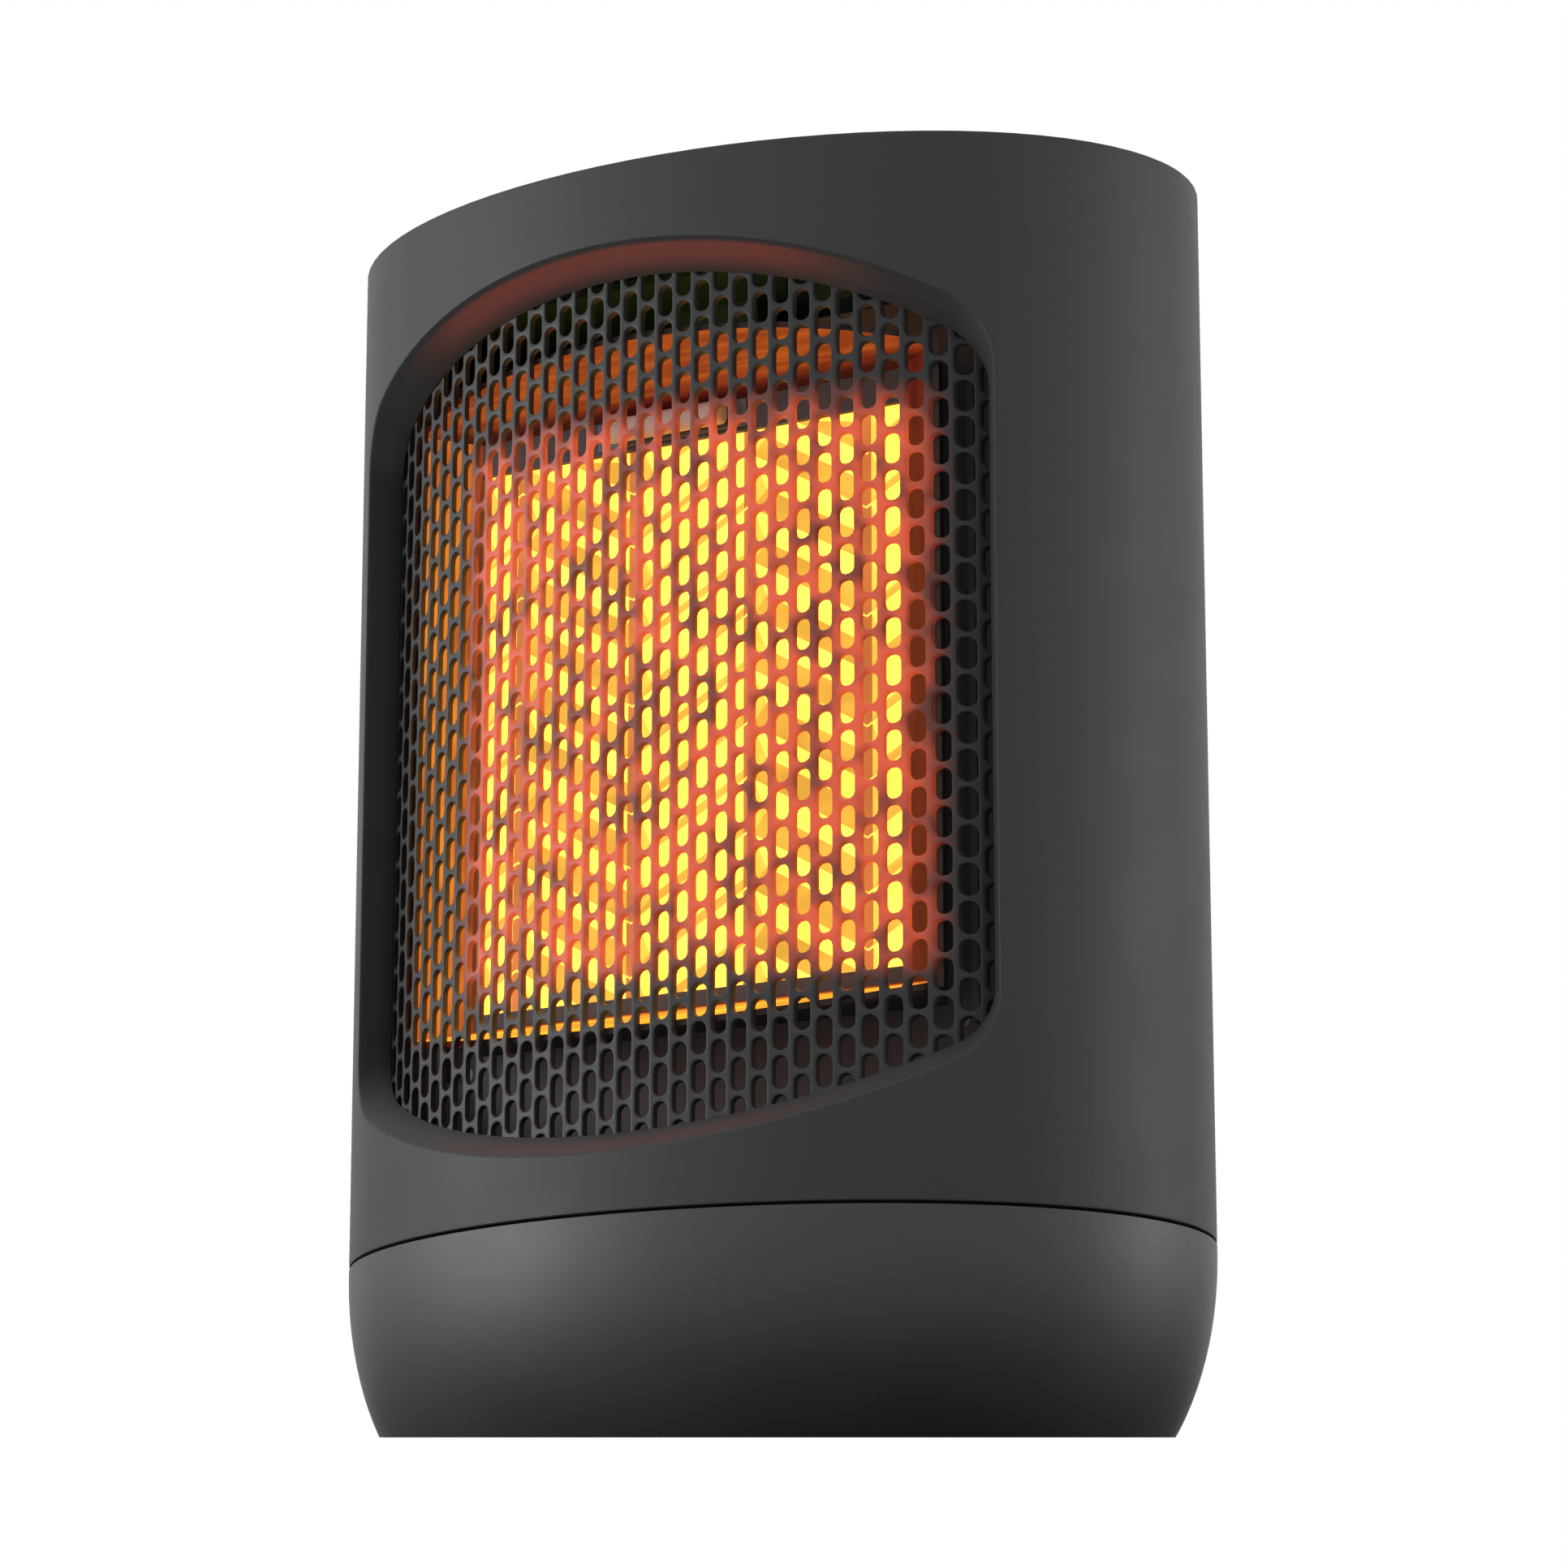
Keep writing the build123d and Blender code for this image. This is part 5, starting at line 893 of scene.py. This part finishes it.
def grained(tree, shader, place, colour, roughness, grain=2500.0, depth=0.25, contrast=0.04):
    """Base colour, roughness and bump of a grained surface."""
    group = add_node(tree, "ShaderNodeGroup", {"node_tree": grain_group()},
                     {"Vector": place, "Grain": grain})
    tone = group.outputs["Tone"]
    dark = [c * (1 - contrast) for c in colour]
    light = [min(1.0, c * (1 + contrast)) for c in colour]
    rough = ramp(tree, tone, 0.0, 1.0, roughness - ROUGH_SPREAD, roughness + ROUGH_SPREAD)
    bump = add_node(tree, "ShaderNodeBump", None,
                    {"Height": group.outputs["Height"], "Strength": depth, "Distance": GRAIN_HEIGHT})
    tree.links.new(blend(tree, tone, dark, light), shader.inputs["Base Color"])
    tree.links.new(rough, shader.inputs["Roughness"])
    tree.links.new(bump.outputs[0], shader.inputs["Normal"])


def plastic(name, colour, roughness, specular=0.35, **grain):
    """Moulded plastic, with its tree, shader and coordinates for what is added to it."""
    tree, shader, coordinates = start_material(name, specular=specular)
    grained(tree, shader, coordinates["Object"], colour, roughness, **grain)
    return tree, shader, coordinates


def stretch(tree, place, scale):
    """Place with its directions scaled, for drawn lines."""
    return add_node(tree, "ShaderNodeMapping", None, {"Vector": place, "Scale": scale}).outputs[0]


def metal(name, colour, roughness, scale=(1.0, 1.0, 12.0), **grain):
    """Bare metal with fine drawn lines."""
    tree, shader, coordinates = start_material(name, metallic=1.0)
    grained(tree, shader, stretch(tree, coordinates["Object"], scale), colour, roughness, **grain)


def glow(tree, shader, colour, strength):
    """Lets the surface glow in a colour that changes over it."""
    tree.links.new(colour, shader.inputs["Emission Color"])
    shader.inputs["Emission Strength"].default_value = strength


def body_plastic():
    """Matt plastic of the head, with the heating block's red light on the window's reveal."""
    c, s, w = bpy.context.scene.heater_finishes, shell(), window()
    tree, shader, coordinates = plastic("body_charcoal", c.body, 0.55, specular=0.32)
    x, y, z = split(tree, coordinates["Object"])
    across = math(tree, "POWER", math(tree, "DIVIDE", x, s.half_width), 2.0)
    deep = math(tree, "POWER", math(tree, "DIVIDE", y, s.half_depth), 2.0)
    # Share of the way out from the axis, 1 on the skin and least at the grille
    inside = math(tree, "SQRT", math(tree, "ADD", across, deep))
    deepest = 1 - w.setback / s.half_depth
    under_skin = ramp(tree, inside, 0.985, 1.0, 1.0, 0.0)
    before_grille = ramp(tree, inside, deepest - 0.01, 0.97)
    middle = ramp(tree, math(tree, "ABSOLUTE", x), 0.03, 0.06, 1.0, 0.0)
    ends = math(tree, "ADD", ramp(tree, z, w.top - 0.018, w.top - 0.004),
                ramp(tree, z, w.bottom + 0.001, w.bottom + 0.012, 0.3, 0.0))
    front = math(tree, "LESS_THAN", y, 0.0)
    above_seam = ramp(tree, z, s.seam_height + 0.002, s.seam_height + 0.005)
    below_rim = ramp(tree, z, w.top + 0.001, w.top + 0.003, 1.0, 0.0)
    reach = product(tree, under_skin, before_grille, middle, ends, front, above_seam, below_rim)
    glow(tree, shader, blend(tree, reach, BLACK, c.cast), REVEAL_GLOW)


def grille_plastic():
    """Satin plastic of the grille, lit red in front of the heating block."""
    c = bpy.context.scene.heater_finishes
    tree, shader, coordinates = plastic("grille_charcoal", c.grille, 0.5, specular=0.3, depth=0.12)
    place = coordinates["Object"]
    x, y, z = split(tree, place)
    patches = ramp(tree, noise(tree, place, 110.0, 2.0), 0.3, 0.62, 0.22, 1.0)
    front = math(tree, "LESS_THAN", y, 0.0)
    reach = product(
        tree, band(tree, x, *LIT_ACROSS, LIT_FADE), band(tree, z, *LIT_UP, LIT_FADE), patches, front)
    glow(tree, shader, blend(tree, reach, BLACK, c.cast), 1.0)


def fin_glow():
    """Hot aluminium that glows, with light and shade painted by facing: bright yellow where a pleat faces
    down, duller where it faces up, and near dark where a face looks back.
    """
    c = bpy.context.scene.heater_finishes
    tree, shader, coordinates = start_material("fin_aluminium")
    place = coordinates["Object"]
    grained(tree, shader, place, (0.05, 0.035, 0.02), 0.6, grain=1500.0)
    _, facing_back, facing_up = split(tree, coordinates["Normal"])
    # Painted light and shade: pleats facing down get the bright glow, pleats facing up the dull one
    pleats = blend(tree, ramp(tree, facing_up, -0.05, 0.05), c.lit_facet_glow, c.shaded_facet_glow)
    colour = blend(tree, math(tree, "LESS_THAN", facing_back, -0.95), pleats, c.spine)
    patches = ramp(tree, noise(tree, place, 70.0, 3.0), 0.3, 0.7, 0.75, 1.1)
    # Painted shade: faces that look back are dimmed to near dark
    tone = product(tree, patches, ramp(tree, facing_back, -0.1, 0.3, 1.0, 0.03))
    level = add_node(tree, "ShaderNodeCombineColor", None, {0: tone, 1: tone, 2: tone}).outputs[0]
    glow(tree, shader, blend(tree, 1.0, colour, level, "MULTIPLY"), c.glow_strength)


def reflector_glow():
    """Heat-stained sheet, lit by the heating block: each wall by its side, dull next to the block."""
    c, e = bpy.context.scene.heater_finishes, bpy.context.scene.heater_element
    tree, shader, coordinates = start_material("reflector_sheet", metallic=0.35, specular=0.2)
    stretched = stretch(tree, coordinates["Object"], (1.0, 8.0, 1.0))
    grained(tree, shader, stretched, (0.06, 0.035, 0.028), 0.6, depth=0.1)
    across, _, up = split(tree, coordinates["Normal"])
    x, depth, _ = split(tree, coordinates["Object"])
    far = ramp(tree, depth, e.front - 0.010, e.front - 0.003, 1.0, 0.08)
    near = ramp(tree, depth, e.front - 0.0035, e.front - 0.0005, 1.0, 0.12)
    floor = product(tree, ramp(tree, up, 0.4, 0.6, 0.0, 1.6), far)
    ceiling = product(tree, ramp(tree, up, -0.6, -0.4, 0.42, 0.0), far)
    left = product(tree, ramp(tree, across, 0.3, 0.5, 0.0, 0.85), near, math(tree, "LESS_THAN", x, 0.0))
    right = ramp(tree, across, -0.5, -0.3, 0.12, 0.0)
    reach = floor
    for wall in (ceiling, left, right):
        reach = math(tree, "ADD", reach, wall)
    reach = product(tree, reach, ramp(tree, noise(tree, stretched, 60.0, 3.0), 0.3, 0.7, 0.6, 1.1))
    level = add_node(tree, "ShaderNodeCombineColor", None, {
        0: product(tree, reach, c.cast[0] * 1.3),
        1: product(tree, math(tree, "POWER", reach, 1.6), c.cast[1] * 3.2),
        2: product(tree, reach, c.cast[2] * 0.7),
    }).outputs[0]
    glow(tree, shader, level, 1.0)


def filter_weave():
    """Black gauze with square openings."""
    tree, shader, coordinates = start_material("filter_mesh")
    grained(tree, shader, coordinates["Object"], (0.03, 0.03, 0.03), 0.7)
    x, _, z = split(tree, coordinates["Object"])
    waves = [math(tree, "SINE", product(tree, value, 2 * pi / WEAVE_PITCH)) for value in (x, z)]
    bump = add_node(tree, "ShaderNodeBump", None,
                    {"Height": math(tree, "MAXIMUM", *waves), "Strength": 0.6, "Distance": 0.0002})
    tree.links.new(bump.outputs[0], shader.inputs["Normal"])


def make_finishes():
    """All finishes of the heater, each under the name of its slot."""
    body_plastic()
    grille_plastic()
    reflector_glow()
    fin_glow()
    filter_weave()
    plastic("base_charcoal", bpy.context.scene.heater_finishes.base, 0.5, specular=0.5)
    plastic("panel_black", (0.016, 0.016, 0.017), 0.35, depth=0.1)
    plastic("button_grey", (0.10, 0.10, 0.105), 0.4, depth=0.12)
    # Painted light: the inner parts' black is lifted to dark grey, standing in for the little light that
    # reaches them behind the grille
    plastic("inner_black", (0.11, 0.11, 0.11), 0.55, grain=1200.0)
    plastic("fan_grey", (0.09, 0.09, 0.095), 0.45, depth=0.1)
    plastic("gear_white", (0.78, 0.78, 0.74), 0.35, depth=0.06)
    plastic("board_green", (0.012, 0.06, 0.024), 0.4, grain=600.0, depth=0.1)
    plastic("lens_smoke", (0.006, 0.006, 0.008), 0.08, specular=0.5, depth=0.01)
    plastic("feet_rubber", (0.02, 0.02, 0.02), 0.8, specular=0.2, grain=1400.0)
    plastic("ceramic", (0.74, 0.71, 0.66), 0.6, grain=1800.0, contrast=0.05)
    metal("steel", (0.16, 0.16, 0.17), 0.45, depth=0.1, contrast=0.06)
    metal("motor_metal", (0.32, 0.32, 0.33), 0.42, scale=(1.0, 6.0, 1.0), depth=0.12)
    metal("brass_terminal", (0.72, 0.52, 0.22), 0.3, depth=0.08)


def finish(slot):
    """Material of a slot; the first use makes them all."""
    if slot not in FINISHES:
        make_finishes()
    return FINISHES[slot]


def finish_cad_nodes():
    """Gives every carried-over CAD node the procedural finish of its slot."""
    slots = {row["node"]: row["material_slot"] for row in frame["record"]["subparts"]}
    for name, node in frame["nodes"].items():
        material = finish(slots[name])
        if not node.material_slots:
            node.data.materials.append(material)
        for place in node.material_slots:
            place.material = material


# Stage

def world_light(strength):
    """Even light of the room, which the camera and reflections see as plain white."""
    world = bpy.data.worlds.new("studio")
    bpy.context.scene.world = world
    world.use_nodes = True
    tree = world.node_tree
    tree.nodes.clear()
    rays = tree.nodes.new("ShaderNodeLightPath").outputs
    seen = math(tree, "MAXIMUM", rays["Is Camera Ray"], rays["Is Glossy Ray"])
    seen = math(tree, "MAXIMUM", seen, rays["Is Transmission Ray"])
    room, white = [
        add_node(tree, "ShaderNodeBackground", None, {"Color": (1, 1, 1, 1), "Strength": value}).outputs[0]
        for value in (strength, 1.0)]
    mix = add_node(tree, "ShaderNodeMixShader", None, {0: seen, 1: room, 2: white})
    add_node(tree, "ShaderNodeOutputWorld", None, {"Surface": mix.outputs[0]})


def place_camera(c):
    """Camera at the photograph's viewpoint."""
    lens = bpy.data.cameras.new("photo_camera")
    lens.sensor_width = 36.0
    lens.lens = c.lens
    lens.clip_start = 0.01
    lens.clip_end = 50.0
    camera = show("photo_camera", lens)
    camera.location = c.camera_place
    camera.rotation_euler = (pi / 2 + c.camera_pitch, 0.0, c.camera_turn)
    bpy.context.scene.camera = camera


def softbox(name, place, width, height, power):
    """Area lamp that faces the heater."""
    lamp = bpy.data.lights.new(name, "AREA")
    lamp.shape = "RECTANGLE"
    lamp.size = width
    lamp.size_y = height
    lamp.energy = power
    holder = show(name, lamp)
    holder.location = place
    aim = Vector(LAMP_AIM) - Vector(place)
    holder.rotation_euler = aim.to_track_quat("-Z", "Y").to_euler()


def plinth_white():
    """White of the plinth: its front burns out, and it throws little light back at the heater."""
    tree, shader, _ = start_material("plinth_white", roughness=0.8)
    seen = tree.nodes.new("ShaderNodeLightPath").outputs["Is Camera Ray"]
    tree.links.new(blend(tree, seen, [0.05] * 3, [0.92] * 3), shader.inputs["Base Color"])
    normal = add_node(tree, "ShaderNodeNewGeometry").outputs["Normal"]
    upright = math(tree, "LESS_THAN", split(tree, normal)[2], 0.5)
    bright = add_node(tree, "ShaderNodeEmission", None, {"Color": (1, 1, 1, 1), "Strength": 1.0})
    mix = add_node(tree, "ShaderNodeMixShader", None,
                   {0: product(tree, seen, upright), 1: shader.outputs[0], 2: bright.outputs[0]})
    tree.links.new(mix.outputs[0], tree.nodes["Material Output"].inputs["Surface"])
    return FINISHES["plinth_white"]


def build_plinth(c):
    """Pale plinth that the heater stands on."""
    bm = bmesh.new()
    low = (-PLINTH_HALF_WIDTH, -c.plinth_reach, -PLINTH_HEIGHT)
    block(bm, low, (PLINTH_HALF_WIDTH, PLINTH_BACK, 0.0))
    turn = Matrix.Rotation(c.camera_turn, 3, "Z")
    bmesh.ops.rotate(bm, verts=bm.verts, cent=(0, 0, 0), matrix=turn)
    mesh = as_mesh(bm, "plinth")
    mesh.materials.append(plinth_white())
    show("plinth", mesh)


def build_stage():
    """Camera, lamps, white room and plinth."""
    c = bpy.context.scene.heater_studio
    bpy.context.scene.view_settings.view_transform = "Standard"
    place_camera(c)
    world_light(c.room_light)
    softbox("left_softbox", place=(-0.95, -0.75, 0.05), width=0.7, height=1.0, power=c.left_power)
    softbox("right_softbox", place=(1.05, 0.55, 0.05), width=0.6, height=1.0, power=c.right_power)
    softbox("top_softbox", place=(-0.1, -0.2, 1.3), width=0.9, height=0.9, power=c.top_power)
    build_plinth(c)


# Operators, panel and registration

class HEATER_OT_head_sleeve(bpy.types.Operator):
    """Builds the head's sleeve with its window and intake opening"""
    bl_idname = "heater.head_sleeve"
    bl_label = "Head sleeve"

    def execute(self, context):
        build_head_sleeve()
        return {"FINISHED"}


class HEATER_OT_front_grille(bpy.types.Operator):
    """Builds the curved front grille with all its slots"""
    bl_idname = "heater.front_grille"
    bl_label = "Front grille"

    def execute(self, context):
        build_front_grille()
        return {"FINISHED"}


class HEATER_OT_heater_fins(bpy.types.Operator):
    """Builds the pleated fins of the heating block"""
    bl_idname = "heater.heater_fins"
    bl_label = "Heater fins"

    def execute(self, context):
        build_heater_fins()
        return {"FINISHED"}


class HEATER_OT_button_marks(bpy.types.Operator):
    """Builds the raised marks on the five buttons"""
    bl_idname = "heater.button_marks"
    bl_label = "Button marks"

    def execute(self, context):
        for button in ("button_power", "button_mode", "button_swing", "button_warmer", "button_cooler"):
            build_button_mark(button)
        return {"FINISHED"}


class HEATER_OT_outer_screws(bpy.types.Operator):
    """Builds the screws of the top panel and of the hatch"""
    bl_idname = "heater.outer_screws"
    bl_label = "Outer screws"

    def execute(self, context):
        build_screws("panel_screws", "panel_cross_screws", panel_normal(), "head")
        build_screws("hatch_screws", "hatch_cross_screws", Vector((0.0, 0.0, -1.0)), "base")
        return {"FINISHED"}


class HEATER_OT_cad_finishes(bpy.types.Operator):
    """Gives the pieces from the frame their finishes"""
    bl_idname = "heater.cad_finishes"
    bl_label = "Finishes"

    def execute(self, context):
        finish_cad_nodes()
        return {"FINISHED"}


class HEATER_OT_stage(bpy.types.Operator):
    """Sets up the camera, the lamps and the plinth"""
    bl_idname = "heater.stage"
    bl_label = "Stage"

    def execute(self, context):
        build_stage()
        return {"FINISHED"}


class HEATER_PT_pieces(bpy.types.Panel):
    bl_idname = "HEATER_PT_pieces"
    bl_label = "Fan heater"
    bl_space_type = "VIEW_3D"
    bl_region_type = "UI"
    bl_category = "Heater"

    def draw(self, context):
        layout = self.layout
        for operator in OPERATORS:
            layout.operator(operator.bl_idname)
        for name, _ in SETTINGS:
            box = layout.box()
            group = getattr(context.scene, name)
            for key in group.__annotations__:
                box.prop(group, key)


OPERATORS = (
    HEATER_OT_stage,
    HEATER_OT_head_sleeve,
    HEATER_OT_front_grille,
    HEATER_OT_heater_fins,
    HEATER_OT_button_marks,
    HEATER_OT_outer_screws,
    HEATER_OT_cad_finishes,
)
SETTINGS = (
    ("heater_shell", ShellSizes),
    ("heater_window", WindowSizes),
    ("heater_grille", GrilleSizes),
    ("heater_element", ElementSizes),
    ("heater_details", DetailSizes),
    ("heater_finishes", Finishes),
    ("heater_studio", StudioSettings),
)


def register():
    for name, group in SETTINGS:
        bpy.utils.register_class(group)
        setattr(bpy.types.Scene, name, bpy.props.PointerProperty(type=group))
    for operator in OPERATORS:
        bpy.utils.register_class(operator)
    bpy.utils.register_class(HEATER_PT_pieces)


def unregister():
    bpy.utils.unregister_class(HEATER_PT_pieces)
    for operator in reversed(OPERATORS):
        bpy.utils.unregister_class(operator)
    for name, group in reversed(SETTINGS):
        delattr(bpy.types.Scene, name)
        bpy.utils.unregister_class(group)


def main():
    register()
    bpy.ops.heater.stage()
    bpy.ops.heater.head_sleeve()
    bpy.ops.heater.front_grille()
    bpy.ops.heater.heater_fins()
    bpy.ops.heater.button_marks()
    bpy.ops.heater.outer_screws()
    bpy.ops.heater.cad_finishes()


if __name__ == "__main__":
    main()
